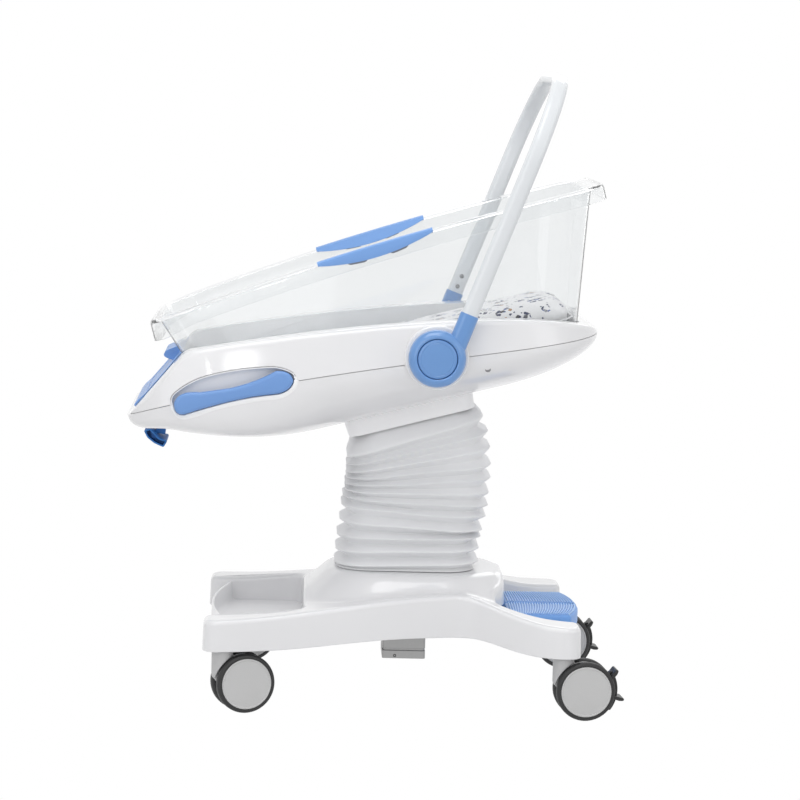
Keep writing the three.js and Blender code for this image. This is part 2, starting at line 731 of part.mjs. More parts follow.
casterList.forEach((c) => {
  const caster = groupAt(base, `caster_${c.name}_body`, c.x, (c.side * TRACK) / 2, 0);
  caster.rotation.z = rad(c.turn);
  put(caster, `caster_hood_${c.name}`, hoodSolid(c.braked), PALE);
  const axle = rodY(AXLE_D, CASTER_TRAIL, -axleHalf, axleHalf, AXLE_Z, 12);
  put(caster, `caster_axle_${c.name}`, axle, STEEL, STEEL_LOOK);
  [-1, 1].forEach((way) => {
    const end = way === c.side ? 'outer' : 'inner';
    const start = (way * WHEEL_SPACE) / 2;
    const wheel = groupAt(caster, `wheel_${end}_${c.name}_body`, CASTER_TRAIL, start, AXLE_Z);
    const disc = way > 0 ? wheelDisc : mirrored(wheelDisc);
    const tyre = way > 0 ? wheelTyre : mirrored(wheelTyre);
    put(wheel, `wheel_${end}_${c.name}`, disc.clone(), PALE);
    put(wheel, `tyre_${end}_${c.name}`, tyre.clone(), BLACK, { roughness: 0.8 });
  });
  if (c.braked) {
    const brake = groupAt(caster, `brake_${c.name}_body`, brakePinX, 0, brakePinZ);
    const lever = geometryOf(brakeSolid()).translate(-brakePinX, 0, -brakePinZ);
    put(brake, `brake_lever_${c.name}`, lever, BLACK);
  }
});

// Lift: ram in the bush, yoke on its head, tilt pin through the yoke cheeks.
const lift = groupAt(base, 'lift_body', 0, 0, PIVOT_Z);
const yokeFoot = -NECK_DEPTH - 9;
const ram = without(
  rodZ(RAM_D, 0, 0, yokeFoot - GAP - RAM_L, yokeFoot - GAP, 18),
  rodZ(RAM_D - 2 * RAM_T, 0, 0, yokeFoot - RAM_L - 10, yokeFoot - GAP - 12, 18),
);
put(lift, 'column_ram', ram, STEEL, STEEL_LOOK);
const cheekShape = new THREE.Shape();
cheekShape.moveTo(-20, yokeFoot);
cheekShape.lineTo(20, yokeFoot);
cheekShape.lineTo(PIN_D, 0);
cheekShape.absarc(0, HORN_R, HORN_PIN_D, 0, Math.PI, false);
cheekShape.lineTo(-PIN_D, 0);
const yokeIn = YOKE_GAP / 2;
const yokeOut = yokeIn + YOKE_T;
const yoke = without(
  joined(
    box(-34, 34, -yokeOut, yokeOut, yokeFoot, yokeFoot + 8),
    prismY(cheekShape, -yokeOut, -yokeIn),
    prismY(cheekShape, yokeIn, yokeOut),
    rodY(HORN_PIN_D, 0, -yokeIn - 1, yokeIn + 1, HORN_R, 16),
  ),
  rodY(PIN_D + 2 * GAP, 0, -yokeOut - 5, yokeOut + 5, 0),
);
put(lift, 'tilt_yoke', yoke, STEEL, STEEL_LOOK);
put(lift, 'tilt_pin', rodY(PIN_D, 0, -BEARING_Y - 8, BEARING_Y + 8, 0), STEEL, STEEL_LOOK);

// Cradle hull: sections along X between the parting line, the top line and the keel.
const cradle = groupAt(base, 'cradle_body', 0, 0, PIVOT_Z);
cradle.rotation.y = -rad(REST_TILT);
const v2 = (x, y) => new THREE.Vector2(x, y);
const topLine = new THREE.CubicBezierCurve(
  v2(FRONT_TOP_X, FRONT_TOP_Z),
  v2(FRONT_TOP_X + 281, FRONT_TOP_Z - 19),
  v2(HULL_HEAD_X - 37, PARTING_HEAD_Z + 68),
  v2(HULL_HEAD_X, PARTING_HEAD_Z + 1.5),
);
const footKeel = new THREE.CubicBezierCurve(
  v2(HULL_FOOT_X, PARTING_FOOT_Z - 4),
  v2(HULL_FOOT_X + 1, PARTING_FOOT_Z - 40),
  v2(FULL_FOOT_X + 71, KEEL_Z),
  v2(-120, KEEL_Z),
);
const headKeel = new THREE.CubicBezierCurve(
  v2(FULL_HEAD_X + 40, KEEL_Z),
  v2(FULL_HEAD_X + 142, KEEL_Z),
  v2(HULL_HEAD_X - 12, PARTING_HEAD_Z - 30),
  v2(HULL_HEAD_X, PARTING_HEAD_Z - 3),
);
const partingLine = new THREE.CubicBezierCurve(
  v2(HULL_FOOT_X, PARTING_FOOT_Z),
  v2(HULL_FOOT_X + 164, PARTING_FOOT_Z + 15),
  v2(HULL_HEAD_X - 287, PARTING_HEAD_Z + 34),
  v2(HULL_HEAD_X, PARTING_HEAD_Z),
);
function partingZ(x) {
  return heightAt(partingLine, x);
}
function keelZ(x) {
  if (x < -120) {
    return heightAt(footKeel, x);
  }
  return x > FULL_HEAD_X + 40 ? heightAt(headKeel, x) : KEEL_Z;
}
const frontSlope = (FRONT_TOP_Z - PARTING_FOOT_Z) / (FRONT_TOP_X - HULL_FOOT_X - 4);
function topZ(x) {
  if (x < FRONT_TOP_X) {
    return FRONT_TOP_Z + (x - FRONT_TOP_X) * frontSlope;
  }
  return heightAt(topLine, x);
}
function halfWidth(x) {
  if (x > FULL_HEAD_X) {
    const s = Math.min(1, (x - FULL_HEAD_X) / (HULL_HEAD_X - FULL_HEAD_X));
    return (HULL_W / 2) * (1 - s ** 3) ** (1 / 3);
  }
  if (x < FULL_FOOT_X) {
    const s = Math.min(1, (FULL_FOOT_X - x) / (FULL_FOOT_X - HULL_FOOT_X));
    return FRONT_W / 2 + ((HULL_W - FRONT_W) / 2) * (1 - s ** 2.5) ** (1 / 2.5);
  }
  return HULL_W / 2;
}
function stations(from, to, count) {
  const list = [];
  for (let k = 0; k <= count; k += 1) {
    list.push((from + to) / 2 - ((to - from) / 2) * Math.cos((Math.PI * k) / count));
  }
  return list;
}
function hullPower(x) {
  return 2 / (2.4 + 3.2 * smooth((FULL_FOOT_X + 170 - x) / 200));
}
function lowerSection(x, inset, lid) {
  const power = hullPower(x);
  const w = Math.max(2, halfWidth(x) - inset);
  const high = partingZ(x) + lid;
  const low = Math.min(keelZ(x) + inset, high - 1);
  const ring = [];
  for (let k = 0; k <= 12; k += 1) {
    const a = (Math.PI * k) / 12;
    const c = Math.cos(a);
    const y = -w * Math.sign(c) * Math.abs(c) ** power;
    ring.push(new THREE.Vector3(x, y, high - (high - low) * Math.sin(a) ** power));
  }
  return ring;
}
function upperSection(x, inset, floor) {
  const w = Math.max(3, halfWidth(x) - inset);
  const low = partingZ(x) + floor;
  const high = Math.max(low + 0.8, topZ(x) - inset);
  const draft = RIM_DRAFT * Math.min(1, (high - low) / 90);
  const r = Math.min(9, (high - low) * 0.45, w * 0.4);
  const ring = [];
  const half = [
    [w, low],
    [w - draft * 0.75, high - r],
    [w - draft - r * 0.25, high - r * 0.3],
    [w - draft - r, high],
  ];
  half.forEach((p) => ring.push(new THREE.Vector3(x, -p[0], p[1])));
  half.reverse().forEach((p) => ring.push(new THREE.Vector3(x, p[0], p[1])));
  return ring;
}
function hull(section, from, to, inset, edge) {
  return solidOf(skin(stations(from, to, 12).map((x) => section(x, inset, edge)), 'fan'));
}
const tip = 0.8;
const lowerForm = hull(lowerSection, HULL_FOOT_X, HULL_HEAD_X - tip, 0, -GAP);
const hullForm = hull(lowerSection, HULL_FOOT_X, HULL_HEAD_X - tip, 0, 1);
const lowerHollow = hull(lowerSection, HULL_FOOT_X + 7, HULL_HEAD_X - 12, WALL, 3);
const upperForm = hull(upperSection, HULL_FOOT_X + 9, HULL_HEAD_X - tip, 0, 0);
const upperHollow = hull(upperSection, HULL_FOOT_X + 24, HULL_HEAD_X - 22, WALL, -3);

// Hand recess and grip outlines, drawn on the side of the hull.
const pocketLine = [
  [-0.4977, 0.0952],
  [-0.4178, 0.3333],
  [-0.2300, 0.5079],
  [0.0282, 0.5079],
  [0.2770, 0.3968],
  [0.3944, 0.2857],
  [0.4836, 0.0794],
  [0.5023, -0.1587],
  [0.4554, -0.3651],
  [0.3427, -0.4921],
  [0.1455, -0.4127],
  [-0.1596, -0.3810],
  [-0.3427, -0.4444],
  [-0.4601, -0.3810],
].map((p) => [GRIP_X + POCKET_L * p[0], GRIP_Z + POCKET_H * p[1]]);
const pocketMid = new THREE.Vector2(GRIP_X, GRIP_Z);
function pocket(grow, y0) {
  const line = pocketLine.map((p) => {
    const out = new THREE.Vector2(p[0], p[1]).sub(pocketMid);
    const far = out.clone().setLength(out.length() + grow).add(pocketMid);
    return [far.x, far.y];
  });
  const right = prismY(polygon(line), -HULL_W, -y0);
  return right.add(prismY(polygon(line), y0, HULL_W));
}
const pocketCup = pocket(WALL, POCKET_Y - WALL);
const pocketVoid = pocket(0, POCKET_Y);

// Well for the basin, cut into the upper shell, and the bosses that carry the hubs.
function basinOutline(z, grow) {
  const up = z - BASIN_Z;
  return roundedOutline(
    BASIN_FOOT_X - up * BASIN_FLARE_L - grow,
    BASIN_HEAD_X + up * BASIN_FLARE_L + grow,
    BASIN_W / 2 + up * BASIN_FLARE_W + grow,
    BASIN_R + grow,
    4,
    6,
  );
}
function well(grow, bottom) {
  const top = FRONT_TOP_Z + 40;
  return solidOf(skin([bottom, top].map((z) => levelRing(basinOutline(z, grow), z)), 'fan'));
}
const bossIn = 200;
const bossOut = HUB_FACE_Y - HUB_T - GAP;
function bosses(diameter, from, to) {
  const right = rodY(diameter, HUB_X, -to, -from, HUB_Z, 18);
  return right.add(rodY(diameter, HUB_X, from, to, HUB_Z, 18));
}
const wellOuter = well(WELL_GAP + WELL_T, WELL_FLOOR_Z);
const wellInner = well(WELL_GAP, WELL_FLOOR_Z + WELL_T);
const spindleBores = bosses(SPINDLE_D + 2 * GAP, bossIn - 20, bossOut + 20);
const upperShell = without(
  joined(
    without(upperForm, upperHollow),
    wellOuter.intersect(upperForm.add(hullForm)),
    pocketCup.intersect(upperForm),
    bosses(BOSS_D, bossIn, bossOut),
  ),
  wellInner,
  pocketVoid,
  spindleBores,
);
put(cradle, 'upper_shell', upperShell, WHITE);

// Lower shell: floor opening for the tilt bracket, lug for the gas spring, slot and lugs for the tilt lever.
const gasZ = HORN_R * Math.cos(rad(REST_TILT));
const lugX = GAS_FOOT_X - GAS_STUD_L;
const gasLug = box(lugX + 1, GAS_FOOT_X - GAP, -14, 14, KEEL_Z, gasZ + 11).intersect(lowerForm);
const leverLugs = [-1, 1].map((side) => {
  const y = side * (LEVER_ARM_W / 2 + 6);
  return box(LEVER_PIN_X - 8, LEVER_PIN_X + 8, y - 4, y + 4, LEVER_PIN_Z - 40, LEVER_PIN_Z + 8);
});
const lowerShell = without(
  joined(
    without(lowerForm, lowerHollow),
    gasLug,
    joined(...leverLugs).intersect(lowerForm),
    pocketCup.intersect(lowerForm),
  ),
  pocketVoid,
  box(-MECH_L / 2, MECH_L / 2, -MECH_W / 2, MECH_W / 2, KEEL_Z - 20, KEEL_Z + 12),
  bosses(BOSS_D + 2 * GAP, bossIn - GAP, HULL_W),
  rodX(GAS_ROD_D + 2 * GAP, lugX - 20, GAS_FOOT_X + 5, 0, gasZ),
  rodY(LEVER_PIN_D + 2 * RUN, LEVER_PIN_X, -HULL_W / 4, HULL_W / 4, LEVER_PIN_Z, 12),
  box(
    LEVER_PIN_X - 34,
    LEVER_PIN_X + 16,
    -LEVER_ARM_W / 2 - 1.5,
    LEVER_ARM_W / 2 + 1.5,
    LEVER_PIN_Z - 48,
    LEVER_PIN_Z - 2,
  ),
);
put(cradle, 'lower_shell', lowerShell, WHITE);

// Neck block: hollow skirt under the hull, open to the bellows.
function neckOutline(inset, wide) {
  const half = NECK_L / 2 + wide - inset;
  return roundedOutline(-half, half, NECK_W / 2 + wide - inset, 26 - inset, 5, 1);
}
function neckStack(inset, z0, z1) {
  const rings = [levelRing(neckOutline(inset, 0), z0), levelRing(neckOutline(inset, 3), z1)];
  return solidOf(skin(rings, 'fan'));
}
const keelCut = hull(lowerSection, HULL_FOOT_X, HULL_HEAD_X - tip, -GAP, 0);
const neck = without(
  neckStack(0, -NECK_DEPTH, KEEL_Z + 14),
  neckStack(WALL + 1, -NECK_DEPTH - 1, KEEL_Z + 15),
  keelCut,
);
put(cradle, 'neck_block', neck, WHITE);

// Cradle frame: bearing plates on the hull floor, cross bar and uprights that hold the hub spindles.
const barZ = 29;
const plateIn = BEARING_Y - 3;
const plateOut = BEARING_Y + 4;
const bearingShape = new THREE.Shape();
bearingShape.moveTo(-70, KEEL_Z + 14);
bearingShape.lineTo(-PIN_D - 2, KEEL_Z + 14);
bearingShape.lineTo(-PIN_D + 1, 0);
bearingShape.absarc(0, 0, PIN_D - 1, Math.PI, 2 * Math.PI, false);
bearingShape.lineTo(PIN_D + 2, KEEL_Z + 14);
bearingShape.lineTo(HUB_X + 26, KEEL_Z + 14);
bearingShape.lineTo(HUB_X + 26, barZ + 3);
bearingShape.lineTo(-70, barZ + 3);
const uprightIn = SPINDLE_IN_Y + 2;
const uprightOut = uprightIn + 6;
const uprightShape = new THREE.Shape();
uprightShape.moveTo(HUB_X - 25, barZ);
uprightShape.lineTo(HUB_X + 25, barZ);
uprightShape.lineTo(HUB_X + 18, HUB_Z);
uprightShape.absarc(HUB_X, HUB_Z, 18, 0, Math.PI, false);
const feetZ = KEEL_Z + WALL;
const floorBand = without(
  hullForm,
  hull(lowerSection, HULL_FOOT_X + 7, HULL_HEAD_X - 12, WALL + GAP, 3),
  box(-MECH_L / 2, MECH_L / 2, -MECH_W / 2, MECH_W / 2, KEEL_Z - 20, KEEL_Z + 12),
);
const frame = without(
  joined(
    prismY(bearingShape, -plateOut, -plateIn),
    prismY(bearingShape, plateIn, plateOut),
    box(HUB_X - 25, HUB_X + 25, -uprightOut, uprightOut, barZ, barZ + 5),
    prismY(uprightShape, -uprightOut, -uprightIn),
    prismY(uprightShape, uprightIn, uprightOut),
    box(MECH_L / 2 + 4, HUB_X + 40, -plateOut, plateOut, feetZ, feetZ + 10),
    box(HUB_X + 18, HUB_X + 26, -plateOut, plateOut, feetZ, barZ + 3),
  ),
  rodY(PIN_D + 2 * RUN, 0, -plateOut - 5, plateOut + 5, 0),
  bosses(SPINDLE_D + 2 * GAP, uprightIn - 10, uprightOut + 10),
  floorBand,
);
put(cradle, 'cradle_frame', frame, STEEL, STEEL_LOOK);

// Hub spindles: shaft through upright, boss and hub, with a head that keeps the hub on.
const recessY = HUB_FACE_Y - 18;
const spindle = turnedY(
  [
    [0, SPINDLE_IN_Y],
    [SPINDLE_D / 2, SPINDLE_IN_Y],
    [SPINDLE_D / 2, recessY + GAP],
    [SPINDLE_D / 2 + 4, recessY + GAP],
    [SPINDLE_D / 2 + 4, recessY + 3],
    [0, recessY + 3],
  ],
  16,
).translate(HUB_X, 0, HUB_Z);
put(cradle, 'hub_spindle_left', spindle, STEEL, STEEL_LOOK);
put(cradle, 'hub_spindle_right', mirrored(spindle), STEEL, STEEL_LOOK);

// Side grips: a waisted bar over the recess on two posts that stand on its back wall.
const gripAt = (u, v) => [GRIP_X + GRIP_L * u, GRIP_Z + GRIP_H * v];
const gripShape = new THREE.Shape();
gripShape.moveTo(...gripAt(-0.4879, 0.0000));
gripShape.quadraticCurveTo(...gripAt(-0.5121, -0.4444), ...gripAt(-0.4251, -0.4889));
gripShape.quadraticCurveTo(...gripAt(-0.1643, -0.3778), ...gripAt(0.1498, -0.4444));
gripShape.lineTo(...gripAt(0.3478, -0.5556));
gripShape.quadraticCurveTo(...gripAt(0.4638, -0.5333), ...gripAt(0.4879, -0.2000));
gripShape.quadraticCurveTo(...gripAt(0.4879, 0.1778), ...gripAt(0.3720, 0.2889));
gripShape.quadraticCurveTo(...gripAt(0.1836, 0.0444), ...gripAt(-0.0290, 0.0667));
gripShape.lineTo(...gripAt(-0.2657, 0.1778));
gripShape.quadraticCurveTo(...gripAt(-0.4348, 0.4444), ...gripAt(-0.4879, 0.0000));
const gripFace = HULL_W / 2 + 4;
const gripBody = new THREE.ExtrudeGeometry(gripShape, {
  depth: GRIP_T - 6,
  bevelEnabled: true,
  bevelThickness: 3,
  bevelSize: 3,
  bevelOffset: -3,
  bevelSegments: 1,
  curveSegments: 4,
});
gripBody.rotateX(Math.PI / 2).translate(0, -gripFace + GRIP_T - 3, 0);
const gripPosts = [gripAt(-0.406, -0.133), gripAt(0.396, -0.133)].map((at) => {
  return rodY(14, at[0], -gripFace + 6, -POCKET_Y - GAP, at[1]);
});
const grip = geometryOf(joined(solidOf(gripBody), ...gripPosts));
put(cradle, 'side_grip_right', grip, BLUE);
put(cradle, 'side_grip_left', mirrored(grip), BLUE);

// Front fascia on the sloping foot end, with the beak that holds the basin.
const slopeDir = v2(-1, -frontSlope).normalize();
const slopeOut = v2(slopeDir.y, -slopeDir.x);
const faceAt = (along, off) => {
  const x = FRONT_TOP_X + slopeDir.x * along + slopeOut.x * off;
  return [x, FRONT_TOP_Z + slopeDir.y * along + slopeOut.y * off];
};
const fasciaLine = [
  faceAt(8, GAP),
  [FRONT_TOP_X + 4, FRONT_TOP_Z - 5],
  [FRONT_TOP_X + 4, FRONT_TOP_Z - 1],
  [FRONT_TOP_X - 24, FRONT_TOP_Z - 1.5],
  [FRONT_TOP_X - 43, FRONT_TOP_Z - 4],
  [FRONT_TOP_X - 50, FRONT_TOP_Z - 11],
  [FRONT_TOP_X - 43, FRONT_TOP_Z - 16],
  faceAt(38, FASCIA_T),
  faceAt(118, FASCIA_T),
  faceAt(132, FASCIA_T - 2.5),
  faceAt(134, GAP),
];
const fascia = prismY(polygon(fasciaLine), -FASCIA_W / 2, FASCIA_W / 2);
put(cradle, 'front_fascia', without(fascia, wellInner), BLUE);

// Tilt lever: curved blade on an arm that comes out of a slot under the foot end.
const lever = groupAt(cradle, 'tilt_lever_body', LEVER_PIN_X, 0, LEVER_PIN_Z);
const bladeLine = [
  [-41, -30],
  [-30, -53],
  [-15, -66],
  [-4, -55],
  [-17, -48],
  [-29, -28],
];
const armLine = [
  [-24, -40],
  [-9, -47],
  [6, 0],
  [-7, 3],
];
const leverSolid = joined(
  prismY(polygon(bladeLine), -LEVER_W / 2, LEVER_W / 2),
  prismY(polygon(armLine), -LEVER_ARM_W / 2, LEVER_ARM_W / 2),
  rodY(14, 0, -LEVER_ARM_W / 2, LEVER_ARM_W / 2, 0),
  rodY(LEVER_PIN_D, 0, -LEVER_ARM_W / 2 - 9, LEVER_ARM_W / 2 + 9, 0, 12),
);
put(lever, 'tilt_lever', leverSolid, 0x4a86c8);

// Gas spring: cylinder held by its stud in the hull lug, rod with an eye round the horn pin.
const gasEnd = GAS_FOOT_X + GAS_BODY_L;
const gasCylinder = without(
  joined(rodX(GAS_D, GAS_FOOT_X, gasEnd, 0, gasZ, 14), rodX(GAS_ROD_D, lugX, GAS_FOOT_X + 2, 0, gasZ)),
  rodX(GAS_ROD_D + 2 * RUN, GAS_FOOT_X + 40, gasEnd + 5, 0, gasZ),
);
put(cradle, 'gas_cylinder', gasCylinder, BLACK);
const hornX = HORN_R * Math.sin(rad(REST_TILT));
const rodBody = groupAt(cradle, 'gas_rod_body', gasEnd, 0, gasZ);
const eye = HORN_PIN_D + 6;
const gasRod = without(
  joined(
    rodX(GAS_ROD_D, GAS_FOOT_X + 60, hornX - eye / 2, 0, gasZ),
    rodY(eye + 8, hornX, -6, 6, gasZ, 18),
  ),
  rodY(eye, hornX, -10, 10, gasZ),
);
put(rodBody, 'gas_rod', geometryOf(gasRod).translate(-gasEnd, 0, -gasZ), STEEL, STEEL_LOOK);

// Release cable from the lever's arm to the gas spring's stud.
const cablePath = new THREE.CatmullRomCurve3([
  new THREE.Vector3(LEVER_PIN_X + 12, 0, LEVER_PIN_Z + 6),
  new THREE.Vector3(LEVER_PIN_X + 50, 0, LEVER_PIN_Z - 22),
  new THREE.Vector3(BASIN_FOOT_X - 8, 0, WELL_FLOOR_Z - 4),
  new THREE.Vector3(lugX - 30, 0, gasZ + 3),
  new THREE.Vector3(lugX - 1, 0, gasZ),
]);
const cableShape = new THREE.Shape().absarc(0, 0, CABLE_D / 2, 0, 2 * Math.PI, false);
const cable = new THREE.ExtrudeGeometry(cableShape, { extrudePath: cablePath, steps: 12, curveSegments: 3 });
put(cradle, 'release_cable', solidOf(cable), BLACK);

// Arch handle: hubs with sleeves, tube bent over the basin, release buttons in the hubs.
const arch = groupAt(cradle, 'arch_body', HUB_X, 0, HUB_Z);
arch.rotation.y = rad(ARCH_LEAN);
function ovalShape(width, thick) {
  const r = thick / 2;
  const half = width / 2 - r;
  const shape = new THREE.Shape();
  shape.absarc(half, 0, r, -Math.PI / 2, Math.PI / 2, false);
  shape.absarc(-half, 0, r, Math.PI / 2, Math.PI * 1.5, false);
  return shape;
}
function ovalLeg(width, thick, y, z0, z1) {
  const depth = z1 - z0;
  const made = new THREE.ExtrudeGeometry(ovalShape(width, thick), {
    depth,
    bevelEnabled: false,
    curveSegments: 5,
  });
  return solidOf(made.translate(LEG_OFFSET, y, z0));
}
const legY = LEG_SPAN / 2;
const hubForm = turnedY(
  [
    [SPINDLE_D / 2 + RUN, HUB_FACE_Y - HUB_T],
    [HUB_D / 2 - 3, HUB_FACE_Y - HUB_T],
    [HUB_D / 2, HUB_FACE_Y - HUB_T + 3],
    [HUB_D / 2, HUB_FACE_Y - 6],
    [HUB_D / 2 - 5, HUB_FACE_Y],
    [BUTTON_D / 2 + 1, HUB_FACE_Y],
    [BUTTON_D / 2 + 1, recessY],
    [SPINDLE_D / 2 + RUN, recessY],
    [SPINDLE_D / 2 + RUN, HUB_FACE_Y - HUB_T],
  ],
  20,
);
const sleeveW = ARCH_TUBE_W + 2 * (SLEEVE_WALL + GAP);
const sleeveT = ARCH_TUBE_T + 2 * (SLEEVE_WALL + GAP);
const recess = rodY(BUTTON_D + 2, 0, recessY, HUB_FACE_Y + 5, 0, 20);
const spindleRoom = rodY(SPINDLE_D + 2 * RUN, 0, HUB_FACE_Y - HUB_T - 20, HUB_FACE_Y, 0, 18);
const sleeve = without(
  ovalLeg(sleeveW, sleeveT, legY, 12, SLEEVE_TOP),
  recess,
  spindleRoom,
  rodY(HUB_D + 40, 0, legY - sleeveT, HUB_FACE_Y - HUB_T, 0, 20),
);
const legHole = ovalLeg(ARCH_TUBE_W + 2 * GAP, ARCH_TUBE_T + 2 * GAP, legY, SOCKET_Z, SLEEVE_TOP + 5);
const hub = geometryOf(without(solidOf(hubForm).add(sleeve), legHole));
put(arch, 'hub_left', hub, BLUE);
put(arch, 'hub_right', mirrored(hub), BLUE);
const archPath = new THREE.CurvePath();
const v3 = (y, z) => new THREE.Vector3(LEG_OFFSET, y, z);
const legFoot = SOCKET_Z + GAP;
const bendZ = ARCH_H - ARCH_R;
const bendY = legY - ARCH_R;
const pathPoints = [v3(-legY, legFoot), v3(-legY, (legFoot + bendZ) / 2)];
for (let k = 0; k <= 6; k += 1) {
  const a = Math.PI - (Math.PI / 2) * (k / 6);
  pathPoints.push(v3(-bendY + ARCH_R * Math.cos(a), bendZ + ARCH_R * Math.sin(a)));
}
for (let k = 0; k <= 6; k += 1) {
  const a = Math.PI / 2 - (Math.PI / 2) * (k / 6);
  pathPoints.push(v3(bendY + ARCH_R * Math.cos(a), bendZ + ARCH_R * Math.sin(a)));
}
pathPoints.push(v3(legY, (legFoot + bendZ) / 2), v3(legY, legFoot));
const oval = ovalShape(ARCH_TUBE_W, ARCH_TUBE_T).getPoints(3);
oval.pop();
const archRings = pathPoints.map((p, i) => {
  const before = pathPoints[Math.max(0, i - 1)];
  const after = pathPoints[Math.min(pathPoints.length - 1, i + 1)];
  const run = after.clone().sub(before).normalize();
  const across = new THREE.Vector3(0, -run.z, run.y);
  return oval.map((q) => {
    const point = p.clone().addScaledVector(across, q.y);
    point.x += q.x;
    return point;
  });
});
put(arch, 'arch_tube', skin(archRings, 'fan'), WHITE);
const buttonIn = HUB_FACE_Y - 11;
const button = turnedY(
  [
    [0, buttonIn + 8],
    [BUTTON_D / 2 - 6, buttonIn + 8],
    [BUTTON_D / 2 - 6, buttonIn],
    [BUTTON_D / 2, buttonIn],
    [BUTTON_D / 2, HUB_FACE_Y - 1],
    [BUTTON_D / 2 - 2, HUB_FACE_Y + 1],
    [0, HUB_FACE_Y + 1.5],
  ],
  18,
);
const leftButton = groupAt(arch, 'hub_button_left_body', 0, 0, 0);
put(leftButton, 'hub_button_left', button, BLUE);
const rightButton = groupAt(arch, 'hub_button_right_body', 0, 0, 0);
put(rightButton, 'hub_button_right', mirrored(button), BLUE);

// Basin: floor, flared walls, flange and turned-down lip in one skin.
const basinBody = groupAt(cradle, 'basin_body', 0, 0, BASIN_Z);
const rimLine = new THREE.QuadraticBezierCurve(
  v2(RIM_FOOT_X, RIM_FOOT_H + BASIN_Z),
  v2(0, RIM_MID_H + BASIN_Z),
  v2(RIM_HEAD_X, RIM_HEAD_H + BASIN_Z),
);
const rimZ = (x) => heightAt(rimLine, Math.min(RIM_HEAD_X, Math.max(RIM_FOOT_X, x)));
function wallRing(up, grow) {
  return levelRing(basinOutline(BASIN_Z + up, grow), BASIN_Z + up);
}
function topRing(grow, drop) {
  return basinOutline(BASIN_Z, 0).map((foot, i) => {
    let z = rimZ(foot.x);
    for (let n = 0; n < 3; n += 1) {
      z = rimZ(basinOutline(z - drop, grow)[i].x);
    }
    const p = basinOutline(z - drop, grow)[i];
    return new THREE.Vector3(p.x, p.y, z - drop);
  });
}
const rimOutline = roundedOutline(RIM_FOOT_X, RIM_HEAD_X, RIM_W / 2, BASIN_R + 26, 4, 6);
function lipRing(inset, drop) {
  const line = roundedOutline(
    RIM_FOOT_X + inset,
    RIM_HEAD_X - inset,
    RIM_W / 2 - inset,
    BASIN_R + 26 - inset,
    4,
    6,
  );
  return line.map((p, i) => {
    const x = rimOutline[i].x;
    const more = drop < RIM_LIP ? 0 : RIM_FOOT_DROP * smooth((BASIN_FOOT_X - x) / 70);
    return new THREE.Vector3(p.x, p.y, rimZ(x) - drop - more);
  });
}
const basinRings = [
  wallRing(0, -10),
  wallRing(3, -2),
  wallRing(10, 0),
  topRing(0, BASIN_T),
  lipRing(BASIN_T, BASIN_T),
  lipRing(BASIN_T, RIM_LIP),
  lipRing(0, RIM_LIP),
  lipRing(0, 3),
  lipRing(3, 0),
  topRing(-BASIN_T + 1, 0),
  topRing(-BASIN_T, 3),
  wallRing(12, -BASIN_T),
  wallRing(BASIN_T + 2, -BASIN_T - 5),
  wallRing(BASIN_T, -BASIN_T - 12),
];
const clear = { transparent: true, opacity: 0.35, roughness: 0.05 };
const basinGeometry = skin(basinRings, 'fan').translate(0, 0, -BASIN_Z);
put(basinBody, 'basin', basinGeometry, 0xe8eef2, clear);

// Rim grips: angled saddles over the flange and the lip of each long side.
function rimGrip() {
  const y = RIM_W / 2;
  const rings = stations(RIM_GRIP_FOOT_X, RIM_GRIP_HEAD_X, 14).map((x) => {
    const s = (x - RIM_GRIP_FOOT_X) / (RIM_GRIP_HEAD_X - RIM_GRIP_FOOT_X);
    const depth = 3 + (RIM_GRIP_DEPTH - 3) * Math.sin(Math.PI * s) ** 0.8;
    const z = rimZ(x) - BASIN_Z;
    const out = y + GAP + RIM_GRIP_T;
    return [
      [out, z + GAP + RIM_GRIP_T - 1],
      [out, z - depth],
      [y + GAP, z - depth],
      [y + GAP, z + GAP],
      [y - 18, z + GAP],
      [y - 18, z + GAP + RIM_GRIP_T],
      [out - 1, z + GAP + RIM_GRIP_T],
    ].map((p) => new THREE.Vector3(x, p[0], p[1]));
  });
  const faces = THREE.ShapeUtils.triangulateShape(rings[0].map((p) => v2(p.y, p.z)), []);
  const capped = skin(rings, 'open');
  const place = Array.from(capped.getAttribute('position').array);
  const ends = [rings[0], rings[rings.length - 1]];
  ends.forEach((ring, end) => {
    faces.forEach((f) => {
      const way = new THREE.Vector3().crossVectors(
        ring[f[1]].clone().sub(ring[f[0]]),
        ring[f[2]].clone().sub(ring[f[0]]),
      ).x;
      const keep = end === 0 ? way < 0 : way > 0;
      const order = keep ? [f[0], f[1], f[2]] : [f[0], f[2], f[1]];
      order.forEach((k) => place.push(ring[k].x, ring[k].y, ring[k].z));
    });
  });
  const geometry = new THREE.BufferGeometry();
  geometry.setAttribute('position', new THREE.Float32BufferAttribute(place, 3));
  geometry.computeVertexNormals();
  return geometry;
}
const rimGripGeometry = rimGrip();
put(basinBody, 'rim_grip_left', rimGripGeometry, 0x7ba6e0);
put(basinBody, 'rim_grip_right', mirrored(rimGripGeometry), 0x7ba6e0);

